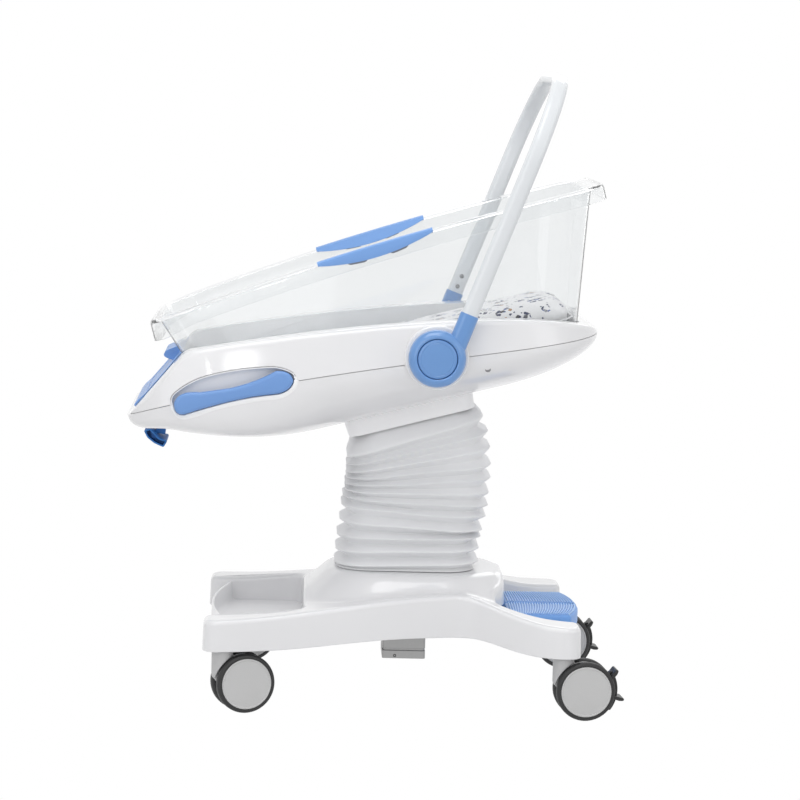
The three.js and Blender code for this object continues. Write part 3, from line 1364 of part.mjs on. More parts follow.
// Mattress: crowned cushion with drawn-in sides on the basin floor.
const mattressZ = BASIN_Z + BASIN_T + GAP;
const mattressBody = groupAt(basinBody, 'mattress_body', 0, 0, BASIN_T + GAP);
function mattressRing(up, inset) {
  const room = -BASIN_T - MATTRESS_GAP - inset;
  const rise = up + BASIN_T + GAP;
  const line = roundedOutline(
    BASIN_FOOT_X - rise * BASIN_FLARE_L - room,
    BASIN_HEAD_X + rise * BASIN_FLARE_L + room,
    BASIN_W / 2 + rise * BASIN_FLARE_W + room,
    Math.max(12, BASIN_R - 10 - inset * 0.6),
    5,
    4,
  );
  return line.map((p) => new THREE.Vector3(p.x, p.y, up));
}
const mattress = skin(
  [
    mattressRing(0, 24),
    mattressRing(2, 14),
    mattressRing(10, 7),
    mattressRing(22, 4),
    mattressRing(MATTRESS_T * 0.45, 5.5),
    mattressRing(MATTRESS_T - 28, 4),
    mattressRing(MATTRESS_T - 17, 10),
    mattressRing(MATTRESS_T - 9, 20),
    mattressRing(MATTRESS_T - 4, 35),
    mattressRing(MATTRESS_T - 1.2, 64),
    mattressRing(MATTRESS_T, 105),
  ],
  'fan',
);
put(mattressBody, 'mattress', mattress, 0xf4f4f4, { roughness: 0.9 });

// Bellows: ribbed sleeve from the deck to the neck, leaning and bending with the cradle.
const bellowsTopX = NECK_DEPTH * Math.sin(rad(REST_TILT));
const bellowsTopZ = PIVOT_Z - NECK_DEPTH * Math.cos(rad(REST_TILT)) - GAP;
const bellowsFoot = DECK_Z + GAP;
const endT = 3;
function bellowsRing(t, inset, lift0) {
  const lean = t * (-75 + 171.4 * t - 81.4 * t * t) * (REST_TILT / 15);
  const line = roundedOutline(
    -BELLOWS_L / 2 + inset,
    BELLOWS_L / 2 - inset,
    BELLOWS_W / 2 - inset,
    BELLOWS_R - inset,
    3,
    1,
  );
  const a = rad(lean);
  const x0 = bellowsTopX * t + BELLOWS_BOW * Math.sin(Math.PI * t ** 1.6);
  const z0 = bellowsFoot + (bellowsTopZ - bellowsFoot) * t + lift0;
  return line.map((p) => new THREE.Vector3(x0 + p.x * Math.cos(a), p.y, z0 + p.x * Math.sin(a)));
}
const bellowsOut = [bellowsRing(0, 5, 0), bellowsRing(0, 5, endT)];
const bellowsIn = [bellowsRing(0, 24, 0), bellowsRing(0, 24, endT)];
for (let k = 0; k < RIBS; k += 1) {
  const low = 0.02 + (0.96 * k) / RIBS;
  const mid = 0.02 + (0.96 * (k + 0.5)) / RIBS;
  bellowsOut.push(bellowsRing(low + 0.01, RIB_DEPTH, 0));
  bellowsOut.push(bellowsRing(mid, 0, 0));
  bellowsIn.push(bellowsRing(low + 0.01, RIB_DEPTH + BELLOWS_T, 0));
  bellowsIn.push(bellowsRing(mid, 3 * BELLOWS_T, 0));
}
bellowsOut.push(bellowsRing(1, RIB_DEPTH + 6, -endT), bellowsRing(1, RIB_DEPTH + 6, 0));
bellowsIn.push(bellowsRing(1, RIB_DEPTH + 14, -endT), bellowsRing(1, RIB_DEPTH + 14, 0));
const bellowsRings = [...bellowsOut, ...bellowsIn.reverse()];
put(base, 'bellows', skin(bellowsRings, 'loop'), WHITE, { roughness: 0.6 });

export default root;
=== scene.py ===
"""Hospital bassinet: clear basin in a tilting cradle on a lifting column with a wheeled base."""

import math
import bmesh
import bpy
from mathutils import Matrix, Vector


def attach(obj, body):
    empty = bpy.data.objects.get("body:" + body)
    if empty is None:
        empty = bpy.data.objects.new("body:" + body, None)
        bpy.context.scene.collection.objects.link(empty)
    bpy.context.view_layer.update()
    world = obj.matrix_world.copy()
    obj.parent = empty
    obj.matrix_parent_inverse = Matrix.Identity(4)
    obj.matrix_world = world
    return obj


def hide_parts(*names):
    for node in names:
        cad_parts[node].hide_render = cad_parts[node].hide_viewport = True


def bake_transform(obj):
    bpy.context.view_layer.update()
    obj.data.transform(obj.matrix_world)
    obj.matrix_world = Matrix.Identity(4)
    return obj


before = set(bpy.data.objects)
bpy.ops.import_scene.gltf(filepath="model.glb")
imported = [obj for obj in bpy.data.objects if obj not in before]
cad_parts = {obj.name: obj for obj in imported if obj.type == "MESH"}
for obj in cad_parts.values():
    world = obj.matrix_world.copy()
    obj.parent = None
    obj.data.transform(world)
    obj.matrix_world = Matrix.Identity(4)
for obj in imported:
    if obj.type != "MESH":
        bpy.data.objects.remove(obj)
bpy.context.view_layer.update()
scene = bpy.context.scene

# Camera: a long lens a little above the basin, looking slightly down at the right side.
# The place and the turn come from lines of the photograph, for a square frame.
eye = Vector((-0.1431, -5.4857, 1.0978))
yaw, pitch, roll = (math.radians(a) for a in (1.9237, 6.132, 1.5877))
level_ahead = Vector((math.sin(yaw), math.cos(yaw), 0))
level_right = Vector((math.cos(yaw), -math.sin(yaw), 0))
ahead = level_ahead * math.cos(pitch) - Vector((0, 0, math.sin(pitch)))
level_up = Vector((0, 0, math.cos(pitch))) + level_ahead * math.sin(pitch)
right = level_right * math.cos(roll) + level_up * math.sin(roll)
up = level_up * math.cos(roll) - level_right * math.sin(roll)
lens = bpy.data.cameras.new("photo_camera")
lens.sensor_width = 36
lens.lens = 142.75
camera = bpy.data.objects.new("photo_camera", lens)
camera.matrix_world = Matrix.Translation(eye) @ Matrix((right, up, -ahead)).transposed().to_4x4()
scene.collection.objects.link(camera)
scene.camera = camera

# Studio: a floor that is plain white to the eye, even light from a white room, a broad lamp overhead,
# one from the front left with a small bright one before it, and weaker ones from the right and the back.
scene.view_settings.view_transform = "Standard"
scene.cycles.max_bounces = 20
scene.cycles.transmission_bounces = 20
room = bpy.data.worlds.new("white_room")
room.use_nodes = True
scene.world = room
tree = room.node_tree
tree.nodes.clear()
seen = tree.nodes.new("ShaderNodeLightPath")
seen_or_glossy = tree.nodes.new("ShaderNodeMath")
seen_or_glossy.operation = "MAXIMUM"
tree.links.new(seen.outputs["Is Camera Ray"], seen_or_glossy.inputs[0])
tree.links.new(seen.outputs["Is Transmission Ray"], seen_or_glossy.inputs[1])
plain = tree.nodes.new("ShaderNodeMath")
plain.operation = "MAXIMUM"
tree.links.new(seen_or_glossy.outputs[0], plain.inputs[0])
tree.links.new(seen.outputs["Is Glossy Ray"], plain.inputs[1])
strength = tree.nodes.new("ShaderNodeMapRange")
strength.inputs["To Min"].default_value = 0.66
strength.inputs["To Max"].default_value = 1.0
tree.links.new(plain.outputs[0], strength.inputs["Value"])
air = tree.nodes.new("ShaderNodeBackground")
air.inputs["Color"].default_value = (1, 1, 1, 1)
tree.links.new(strength.outputs["Result"], air.inputs["Strength"])
sky = tree.nodes.new("ShaderNodeOutputWorld")
tree.links.new(air.outputs["Background"], sky.inputs["Surface"])

floor_bm = bmesh.new()
bmesh.ops.create_circle(floor_bm, cap_ends=True, segments=96, radius=7.0)
floor_mesh = bpy.data.meshes.new("studio_floor")
floor_bm.to_mesh(floor_mesh)
floor_bm.free()
floor = bpy.data.objects.new("studio_floor", floor_mesh)
scene.collection.objects.link(floor)
floor_paint = bpy.data.materials.new("studio_floor")
floor_paint.use_nodes = True
tree = floor_paint.node_tree
tree.nodes.clear()
matt = tree.nodes.new("ShaderNodeBsdfDiffuse")
matt.inputs["Color"].default_value = (0.82, 0.82, 0.82, 1)
glow = tree.nodes.new("ShaderNodeEmission")
glow.inputs["Color"].default_value = (1, 1, 1, 1)
seen = tree.nodes.new("ShaderNodeLightPath")
seen_or_through = tree.nodes.new("ShaderNodeMath")
seen_or_through.operation = "MAXIMUM"
tree.links.new(seen.outputs["Is Camera Ray"], seen_or_through.inputs[0])
tree.links.new(seen.outputs["Is Transmission Ray"], seen_or_through.inputs[1])
plain = tree.nodes.new("ShaderNodeMath")
plain.operation = "MAXIMUM"
tree.links.new(seen_or_through.outputs[0], plain.inputs[0])
tree.links.new(seen.outputs["Is Glossy Ray"], plain.inputs[1])
blend = tree.nodes.new("ShaderNodeMixShader")
tree.links.new(plain.outputs[0], blend.inputs["Fac"])
tree.links.new(matt.outputs[0], blend.inputs[1])
tree.links.new(glow.outputs[0], blend.inputs[2])
face = tree.nodes.new("ShaderNodeOutputMaterial")
tree.links.new(blend.outputs[0], face.inputs["Surface"])
floor_mesh.materials.append(floor_paint)

for name, spot, aim, size, power in (
    ("overhead_lamp", (-0.35, -0.9, 3.0), (0.0, 0.0, 0.5), 1.6, 22),
    ("front_lamp", (-1.7, -3.9, 1.7), (0.0, 0.0, 0.5), 2.6, 22),
    ("left_glint_lamp", (-0.85, -5.2, 1.15), (-0.29, -0.23, 0.58), 0.1, 0.35),
    ("right_glint_lamp", (-0.55, -5.2, 1.25), (-0.23, -0.23, 0.59), 0.12, 0.5),
    ("hub_glint_lamp", (0.2, -1.95, 2.33), (0.09, -0.27, 0.65), 0.25, 2.5),
    ("right_lamp", (2.6, -2.4, 1.6), (0.0, 0.0, 0.6), 1.6, 8),
    ("back_lamp", (0.6, 2.9, 2.2), (0.0, 0.0, 0.6), 1.8, 12),
):
    lamp_data = bpy.data.lights.new(name, "AREA")
    lamp_data.size = size
    lamp_data.energy = power
    lamp = bpy.data.objects.new(name, lamp_data)
    lamp.location = spot
    lamp.visible_camera = False
    lamp.rotation_euler = (Vector(aim) - Vector(spot)).to_track_quat("-Z", "Y").to_euler()
    scene.collection.objects.link(lamp)


# Base cover: one white ABS moulding, four legs round a raised deck, open underneath, with a
# storage tray between the foot-end legs. It sits over the steel chassis.
MM = Matrix.Scale(0.001, 4)
COLUMN_X = 52
LEG_Z = 105
LEG_TOP = 158
DECK_Z = 221
base_place = Matrix.Translation((COLUMN_X, 0, 0))


def eased(value):
    t = min(1.0, max(0.0, value))
    return t * t * (3 - 2 * t)


def loft(bm, rings, foot_cap=False, head_cap=False):
    """Draws a closed ring of points out through the next rings; a cap closes an end with one face."""
    order = bm.verts.layers.int.get("order") or bm.verts.layers.int.new("order")
    verts = [bm.verts.new(p) for p in rings[0]]
    for i, vert in enumerate(verts):
        vert[order] = i
    edges = [bm.edges.new((verts[i - 1], verts[i])) for i in range(len(verts))]
    first = list(edges)
    for ring in rings[1:]:
        grown = bmesh.ops.extrude_edge_only(bm, edges=edges)["geom"]
        for vert in (g for g in grown if isinstance(g, bmesh.types.BMVert)):
            vert.co = ring[vert[order]]
        edges = [g for g in grown if isinstance(g, bmesh.types.BMEdge) and g.is_boundary]
    if foot_cap:
        bmesh.ops.contextual_create(bm, geom=first)
    if head_cap:
        bmesh.ops.contextual_create(bm, geom=edges)


def closed_up(bm):
    bmesh.ops.remove_doubles(bm, verts=bm.verts, dist=1e-4)
    bmesh.ops.recalc_face_normals(bm, faces=bm.faces)


def piece(name, bm, place, finish, body, nodes=(), sharp=38):
    """Makes the drawn shape a piece at its place, in metres, riding on its body."""
    bmesh.ops.transform(bm, matrix=MM @ place, verts=bm.verts)
    mesh = bpy.data.meshes.new(name)
    bm.to_mesh(mesh)
    bm.free()
    mesh.polygons.foreach_set("use_smooth", [True] * len(mesh.polygons))
    mesh.set_sharp_from_angle(angle=math.radians(sharp))
    mesh.materials.append(finish)
    made = bpy.data.objects.new(name, mesh)
    scene.collection.objects.link(made)
    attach(made, body)
    if nodes:
        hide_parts(*nodes)
    return made


def moulded_skin_group():
    """Colour that wanders a little, a gloss with faint smears and the fine orange peel of a moulding."""
    group = bpy.data.node_groups.new("moulded_skin", "ShaderNodeTree")
    sockets = group.interface
    sockets.new_socket("Colour", in_out="INPUT", socket_type="NodeSocketColor")
    sockets.new_socket("Wander", in_out="INPUT", socket_type="NodeSocketFloat")
    sockets.new_socket("Gloss", in_out="INPUT", socket_type="NodeSocketFloat")
    sockets.new_socket("Grain", in_out="INPUT", socket_type="NodeSocketFloat")
    sockets.new_socket("Colour", in_out="OUTPUT", socket_type="NodeSocketColor")
    sockets.new_socket("Roughness", in_out="OUTPUT", socket_type="NodeSocketFloat")
    sockets.new_socket("Height", in_out="OUTPUT", socket_type="NodeSocketFloat")
    nodes = group.nodes
    links = group.links
    given = nodes.new("NodeGroupInput")
    put_out = nodes.new("NodeGroupOutput")
    where = nodes.new("ShaderNodeTexCoord")
    cloud = nodes.new("ShaderNodeTexNoise")
    cloud.inputs["Scale"].default_value = 7.0
    cloud.inputs["Detail"].default_value = 4.0
    links.new(where.outputs["Object"], cloud.inputs["Vector"])
    sway = nodes.new("ShaderNodeMapRange")
    sway.inputs["From Min"].default_value = 0.3
    sway.inputs["From Max"].default_value = 0.7
    sway.inputs["To Min"].default_value = 1.0
    links.new(cloud.outputs["Fac"], sway.inputs["Value"])
    low = nodes.new("ShaderNodeMath")
    low.operation = "SUBTRACT"
    low.inputs[0].default_value = 1.0
    links.new(given.outputs["Wander"], low.inputs[1])
    links.new(low.outputs[0], sway.inputs["To Max"])
    tint = nodes.new("ShaderNodeVectorMath")
    tint.operation = "SCALE"
    links.new(given.outputs["Colour"], tint.inputs[0])
    links.new(sway.outputs["Result"], tint.inputs["Scale"])
    links.new(tint.outputs["Vector"], put_out.inputs["Colour"])
    smear = nodes.new("ShaderNodeTexNoise")
    smear.inputs["Scale"].default_value = 38.0
    smear.inputs["Detail"].default_value = 5.0
    links.new(where.outputs["Object"], smear.inputs["Vector"])
    spread = nodes.new("ShaderNodeMath")
    spread.operation = "MULTIPLY_ADD"
    spread.inputs[1].default_value = 0.05
    links.new(smear.outputs["Fac"], spread.inputs[0])
    links.new(given.outputs["Gloss"], spread.inputs[2])
    links.new(spread.outputs[0], put_out.inputs["Roughness"])
    peel = nodes.new("ShaderNodeTexNoise")
    peel.inputs["Detail"].default_value = 2.0
    links.new(where.outputs["Object"], peel.inputs["Vector"])
    links.new(given.outputs["Grain"], peel.inputs["Scale"])
    links.new(peel.outputs["Fac"], put_out.inputs["Height"])
    return group


moulded_skin = moulded_skin_group()


def moulding(name, colour, gloss, wander=0.04, grain=900, relief=0.02, coat=0.0):
    """A moulded plastic or painted finish, in one colour with the moulded skin."""
    paint = bpy.data.materials.new(name)
    paint.use_nodes = True
    nodes = paint.node_tree.nodes
    links = paint.node_tree.links
    shell = nodes["Principled BSDF"]
    skin = nodes.new("ShaderNodeGroup")
    skin.node_tree = moulded_skin
    skin.inputs["Colour"].default_value = (*colour, 1)
    skin.inputs["Wander"].default_value = wander
    skin.inputs["Gloss"].default_value = gloss - 0.025
    skin.inputs["Grain"].default_value = grain
    links.new(skin.outputs["Colour"], shell.inputs["Base Color"])
    links.new(skin.outputs["Roughness"], shell.inputs["Roughness"])
    bump = nodes.new("ShaderNodeBump")
    bump.inputs["Strength"].default_value = relief
    bump.inputs["Distance"].default_value = 0.001
    links.new(skin.outputs["Height"], bump.inputs["Height"])
    links.new(bump.outputs["Normal"], shell.inputs["Normal"])
    shell.inputs["Coat Weight"].default_value = coat
    shell.inputs["Coat Roughness"].default_value = 0.05
    return paint


white_abs = moulding("white_abs", (0.80, 0.80, 0.815), 0.3, wander=0.015, coat=0.8)


def cover_rise(x):
    if x < 105:
        return eased((x + 339) / 444)
    h = (297 - x) / 192
    return eased(h) * min(1.0, max(0.0, h))


def round_box_distance(x, y, x0, x1, half, radius):
    """Distance outside a rounded rectangle in plan, negative inside."""
    dx = abs(x - (x0 + x1) / 2) - (x1 - x0) / 2 + radius
    dy = abs(y) - half + radius
    return math.hypot(max(dx, 0), max(dy, 0)) + min(max(dx, dy), 0) - radius


def cover_top(x, y):
    """Height of the cover: leg tops that rise to the waist, and the deck with its ramps."""
    leg = LEG_TOP + 37 * cover_rise(x)
    outside = round_box_distance(x, y, -172, 206, 162, 110)
    inside = round_box_distance(x, y, -132, 168, 132, 104)
    ramp = -outside / max(1e-6, inside - outside) if inside > 0 else 1.0
    deck = 180 + 37 * min(1.0, max(-1.0, ramp))
    if inside < 0:
        deck = 217 + 4 * eased(-inside / 12)
    gap = max(0.0, 1 - abs(leg - deck) / 7)
    dish = 1.6 * eased(1.5 - math.hypot(x + 137, (y - 60)) / 14) if x < -100 else 0
    return max(leg, deck) + 7 * gap * gap / 4 - dish


def round_corners(corners, inset=0.0, arc=12, step=9):
    """Outline through (x, y, radius) corners, anticlockwise, moved in by an even inset."""
    size = len(corners)
    arcs = []
    for i, (x, y, r) in enumerate(corners):
        at = Vector((x, y))
        come = (at - Vector(corners[i - 1][:2])).normalized()
        leave = (Vector(corners[(i + 1) % size][:2]) - at).normalized()
        bend = math.copysign(1, come.cross(leave))
        spread = math.sqrt((1 + come.dot(leave)) / 2)
        normal = Vector((-come.y - leave.y, come.x + leave.x)).normalized()
        at = at + normal * (inset / spread)
        r = max(0.5, r - bend * inset)
        half = math.acos(max(-1, min(1, come.dot(leave)))) / 2
        start = at - come * (r * math.tan(half))
        middle = start + Vector((-come.y, come.x)) * (bend * r)
        spoke = start - middle
        arcs.append([middle + Matrix.Rotation(2 * half * bend * k / arc, 2) @ spoke for k in range(arc + 1)])
    points = []
    for i, bow in enumerate(arcs):
        points += bow
        gap_end = arcs[(i + 1) % size][0]
        run = Vector(corners[(i + 1) % size][:2]) - Vector(corners[i][:2])
        count = max(1, int(run.length / step))
        points += [bow[-1].lerp(gap_end, k / count) for k in range(1, count)]
    return points


leg_corners = [
    (-172, -190, 32), (-339, -190, 18), (-339, -268, 24), (105, -172, 70), (237, -255, 120),
    (297, -268, 24), (297, -190, 18), (150, -148, 22), (176, -92, 74),
]
leg_corners += [(x, -y, r) for x, y, r in reversed(leg_corners)]


def cover_outline(inset):
    """Plan of the legs and the deck's head end."""
    return round_corners(leg_corners, inset)


def cover_foot(x, y):
    """Lower edge: arched underside, raised over the pedal arms in the bay."""
    low = LEG_Z + 18 * eased(cover_rise(x))
    if 120 < x < 190 and abs(y) < 165:
        bay = eased((165 - abs(y)) / 14)
        return low + (167 - low) * bay
    return low


cover = bmesh.new()
EDGE_R = 9
plan = cover_outline(0)
rings = [[(p.x, p.y, cover_foot(q.x, q.y)) for p, q in zip(cover_outline(1.2), plan)]]
rings += [[(p.x, p.y, cover_foot(p.x, p.y) + 1.2) for p in plan]]
inner = cover_outline(EDGE_R + 1.2)
for k in range(9):
    a = math.pi / 2 * k / 8
    here = cover_outline(1.2 + EDGE_R * (1 - math.cos(a)))
    rings.append([
        (p.x, p.y, cover_top(q.x, q.y) - EDGE_R * (1 - math.sin(a))) for p, q in zip(here, inner)
    ])
loft(cover, rings)
rim_edges = [e for e in cover.edges if e.is_boundary and min(v.co.z for v in e.verts) > 140
             and all(abs(v.co.z - cover_top(v.co.x, v.co.y)) < 0.01 for v in e.verts)]
hole = bmesh.ops.create_circle(cover, segments=48, radius=51)["verts"]
hole_edges = list({e for v in hole for e in v.link_edges})
STEP = 6
field = bmesh.ops.create_grid(
    cover, x_segments=106, y_segments=90, size=1,
    matrix=Matrix.Translation((-21, 0, 0)) @ Matrix.Diagonal((318, 270, 1, 1)),
)["verts"]


def inside_plan(x, y, line):
    hit = False
    for i in range(len(line)):
        a, b = line[i - 1], line[i]
        if (a.y > y) != (b.y > y) and x < a.x + (y - a.y) / (b.y - a.y) * (b.x - a.x):
            hit = not hit
    return hit


keep_line = cover_outline(EDGE_R + 5)
drop = [v for v in field if math.hypot(v.co.x, v.co.y) < 56 or not inside_plan(v.co.x, v.co.y, keep_line)]
bmesh.ops.delete(cover, geom=drop, context="VERTS")
field = [v for v in field if v.is_valid]
loose = [v for v in field if len(v.link_faces) == 0]
bmesh.ops.delete(cover, geom=loose, context="VERTS")
field = [v for v in field if v.is_valid]
field_edges = list({e for v in field for e in v.link_edges if e.is_boundary})
for vert in hole + field:
    vert.co.z = cover_top(vert.co.x, vert.co.y)
bmesh.ops.triangle_fill(
    cover, edges=rim_edges + hole_edges + field_edges, use_beauty=True, normal=(0, 0, 1))
bmesh.ops.recalc_face_normals(cover, faces=cover.faces)
top_face = max(cover.faces, key=lambda f: f.calc_center_median().z)
if top_face.normal.z < 0:
    bmesh.ops.reverse_faces(cover, faces=cover.faces)
bmesh.ops.solidify(cover, geom=cover.faces[:], thickness=3.5)
bmesh.ops.recalc_face_normals(cover, faces=cover.faces)

tray = bmesh.new()
rings = []
for k in range(41):
    y = -194 + 388 * k / 40
    s = 1 - (y / 192) ** 2
    lip = -304 - 26 * s
    profile = [(-166, 114), (-166, 118), (lip + 14, 118), (lip + 10, 118.7), (lip + 7, 121), (lip + 5.6, 125),
               (lip + 5, 146), (lip + 4.3, 148.6), (lip + 2.6, 149.8), (lip + 1, 149.3), (lip, 147.5),
               (lip - 0.6, 118), (lip + 1, 115), (lip + 3.5, 114)]
    rings.append([(x, y, z) for x, z in profile])
loft(tray, rings, True, True)
closed_up(tray)
piece("base_shell", cover, base_place, white_abs, "base", ["base_cover"])
# The tray is part of the same white cover moulding. Its lighter white is painted light that brightens the shade in its
# hollow.
tray_painted_light = moulding("tray_painted_light", (0.94, 0.94, 0.95), 0.35, wander=0.02, coat=0.2)
piece("storage_tray", tray, base_place, tray_painted_light, "base", ())

# Chassis and lifting column: welded steel with a bright zinc coat, a turned ram in a nylon bush.
# All of it stands under the cover and inside the bellows, so the parts keep their plain machined shapes.


def metal(name, colour, rough, along=(1, 1, 1), streak=0.12):
    """A bare or plated metal, with fine streaks drawn out along one way."""
    finish = bpy.data.materials.new(name)
    finish.use_nodes = True
    nodes = finish.node_tree.nodes
    links = finish.node_tree.links
    shell = nodes["Principled BSDF"]
    shell.inputs["Metallic"].default_value = 1.0
    where = nodes.new("ShaderNodeTexCoord")
    draw = nodes.new("ShaderNodeMapping")
    draw.inputs["Scale"].default_value = along
    links.new(where.outputs["Object"], draw.inputs["Vector"])
    lines = nodes.new("ShaderNodeTexNoise")
    lines.inputs["Scale"].default_value = 240
    lines.inputs["Detail"].default_value = 4
    links.new(draw.outputs["Vector"], lines.inputs["Vector"])
    dull = nodes.new("ShaderNodeMath")
    dull.operation = "MULTIPLY_ADD"
    dull.inputs[1].default_value = streak * 2
    dull.inputs[2].default_value = rough - streak
    links.new(lines.outputs["Fac"], dull.inputs[0])
    links.new(dull.outputs[0], shell.inputs["Roughness"])
    tone = nodes.new("ShaderNodeValToRGB")
    tone.color_ramp.elements[0].position = 0.3
    tone.color_ramp.elements[1].position = 0.75
    tone.color_ramp.elements[0].color = (*(c * 0.78 for c in colour), 1)
    tone.color_ramp.elements[1].color = (*colour, 1)
    links.new(lines.outputs["Fac"], tone.inputs["Fac"])
    links.new(tone.outputs["Color"], shell.inputs["Base Color"])
    return finish


def finish_nodes(finish, *names):
    for name in names:
        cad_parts[name].material_slots[0].material = finish


zinc_plate = metal("zinc_plate", (0.56, 0.57, 0.58), 0.38, (1, 1, 0.3), 0.1)
ground_steel = metal("ground_steel", (0.64, 0.65, 0.66), 0.2, (1, 1, 12), 0.06)
nylon_bush = moulding("nylon_bush", (0.78, 0.78, 0.76), 0.5, grain=600)
finish_nodes(zinc_plate, "chassis", "column_tube")
finish_nodes(ground_steel, "column_ram", "pedal_axle")
finish_nodes(nylon_bush, "column_bush")

# Casters: four twin-wheel casters with a pale grey hood, black core, grey disc wheels and black tyres.
# Each stem is pressed into a socket of the chassis. The two at the head end have a black brake lever.
AXLE_X, AXLE_Z = 36, 50
caster_grey = moulding("caster_grey", (0.55, 0.55, 0.555), 0.42, wander=0.05, grain=700, relief=0.06)
disc_grey = moulding("disc_grey", (0.57, 0.57, 0.57), 0.5, wander=0.04, grain=500, relief=0.08)
tyre_black = moulding("tyre_black", (0.022, 0.022, 0.023), 0.55, wander=0.2, grain=600, relief=0.12)
core_black = moulding("core_black", (0.016, 0.016, 0.017), 0.38, wander=0.15, grain=420, relief=0.1)


def round_box(x0, x1, half, radius, arc=8, side=1):
    """Rounded rectangle in plan, anticlockwise from the head-end side."""
    points = []
    for cx, cy, start in ((x1 - radius, half - radius, 0), (x0 + radius, half - radius, 1),
                          (x0 + radius, radius - half, 2), (x1 - radius, radius - half, 3)):
        for k in range(arc + 1):
            a = math.pi / 2 * (start + k / arc)
            points.append(Vector((cx + radius * math.cos(a), cy + radius * math.sin(a))))
        if start in (0, 2) and side > 1:
            last = points[-1]
            run = (x0 - x1 + 2 * radius) * (1 if start == 0 else -1)
            points += [Vector((last.x + run * k / side, last.y)) for k in range(1, side)]
    return points


def turned(bm, profile, centre, segments=72):
    """Spins a profile of (radius, y) points about an axis along Y."""
    start = [bm.verts.new((centre[0] + r, y, centre[1])) for r, y in profile]
    edges = [bm.edges.new(pair) for pair in zip(start, start[1:])]
    bmesh.ops.spin(bm, geom=start + edges, cent=(centre[0], 0, centre[1]), axis=(0, 1, 0),
                   angle=math.tau, steps=segments, use_merge=True)


def slab(bm, line, y0, y1, soft, segments=4):
    """Draws a flat outline in X and Z across Y and rounds both of its rims."""
    face = bm.faces.new([bm.verts.new((p[0], y0, p[1])) for p in line])
    grown = bmesh.ops.extrude_face_region(bm, geom=[face])["geom"]
    far = [g for g in grown if isinstance(g, bmesh.types.BMVert)]
    bmesh.ops.translate(bm, vec=(0, y1 - y0, 0), verts=far)
    ends = {v for v in far} | set(face.verts)
    rim = [e for e in {e for v in ends for e in v.link_edges}
           if abs(e.verts[0].co.y - e.verts[1].co.y) < 1e-6]
    bmesh.ops.recalc_face_normals(bm, faces=list({f for v in ends for f in v.link_faces}))
    bmesh.ops.bevel(bm, geom=rim, offset=soft, offset_type="OFFSET", segments=segments, profile=0.5,
                    affect="EDGES", material=-1, clamp_overlap=True)


def combined(first, second, way):
    """One shape cut by another, or joined to it."""
    meshes = []
    made = []
    for label, bm in (("first_part", first), ("second_part", second)):
        mesh = bpy.data.meshes.new(label)
        bm.to_mesh(mesh)
        meshes.append(mesh)
        made.append(bpy.data.objects.new(label, mesh))
        scene.collection.objects.link(made[-1])
    cut = made[0].modifiers.new("cut", "BOOLEAN")
    cut.operation = way
    cut.solver = "EXACT"
    cut.object = made[1]
    shape = bpy.data.meshes.new_from_object(made[0].evaluated_get(bpy.context.evaluated_depsgraph_get()))
    rest = bmesh.new()
    rest.from_mesh(shape)
    for item in made:
        bpy.data.objects.remove(item)
    for mesh in (*meshes, shape):
        bpy.data.meshes.remove(mesh)
    return rest


def flat_faced(obj):
    """Keeps broad faces flat beside rounded rims."""
    even = obj.modifiers.new("even_faces", "WEIGHTED_NORMAL")
    even.keep_sharp = True
    return obj


def about_axle(radius, degrees):
    a = math.radians(degrees)
    return (AXLE_X + radius * math.cos(a), AXLE_Z + radius * math.sin(a))


def caster_hood():
    """Round neck that runs out into a mudguard between the two wheels."""
    guard = bmesh.new()
    line = [(-16, 118), (-16, 66), (-13.5, 57), (-8, 50)]
    line += [about_axle(34, d) for d in range(172, 56, -8)]
    line += [about_axle(36, 50), about_axle(40, 47.5), about_axle(44.5, 49), about_axle(46.5, 54)]
    line += [about_axle(46.5, d) for d in range(60, 112, 7)]
    line += [(15.5, 99), (16, 118)]
    slab(guard, line, -6.8, 6.8, 1.4, 3)
    neck = bmesh.new()
    loft(neck, [[(p.x, p.y, z) for p in round_box(-r, r, r, r, 12)]
                for z, r in ((118.8, 16.4), (118.2, 17.4), (117, 18), (66, 18), (61, 17.4), (58, 15.6), (56.6, 13))],
         True, True)
    closed_up(neck)
    hood = combined(guard, neck, "UNION")
    room_for_wheels = bmesh.new()
    for way in (-1, 1):
        turned(room_for_wheels, [(0, way * 7.3), (52, way * 7.3), (52, way * 40), (0, way * 40)], (AXLE_X, AXLE_Z))
    closed_up(room_for_wheels)
    shape = combined(hood, room_for_wheels, "DIFFERENCE")
    for spent in (guard, neck, hood, room_for_wheels):
        spent.free()
    return shape


def caster_core(braked):
    """Black body between the wheels, round the axle; with a brake it reaches out to the lever's pin."""
    core = bmesh.new()
    line = [about_axle(31, d) for d in range(-178, 168, 10)]
    slab(core, line, -5.6, 5.6, 1.6, 3)
    if braked:
        slab(core, [(50, 50), (80, 49.6), (85, 51), (87, 54), (85, 57), (80, 58.4), (50, 58)], -2.4, 2.4, 0.6, 2)
    return core


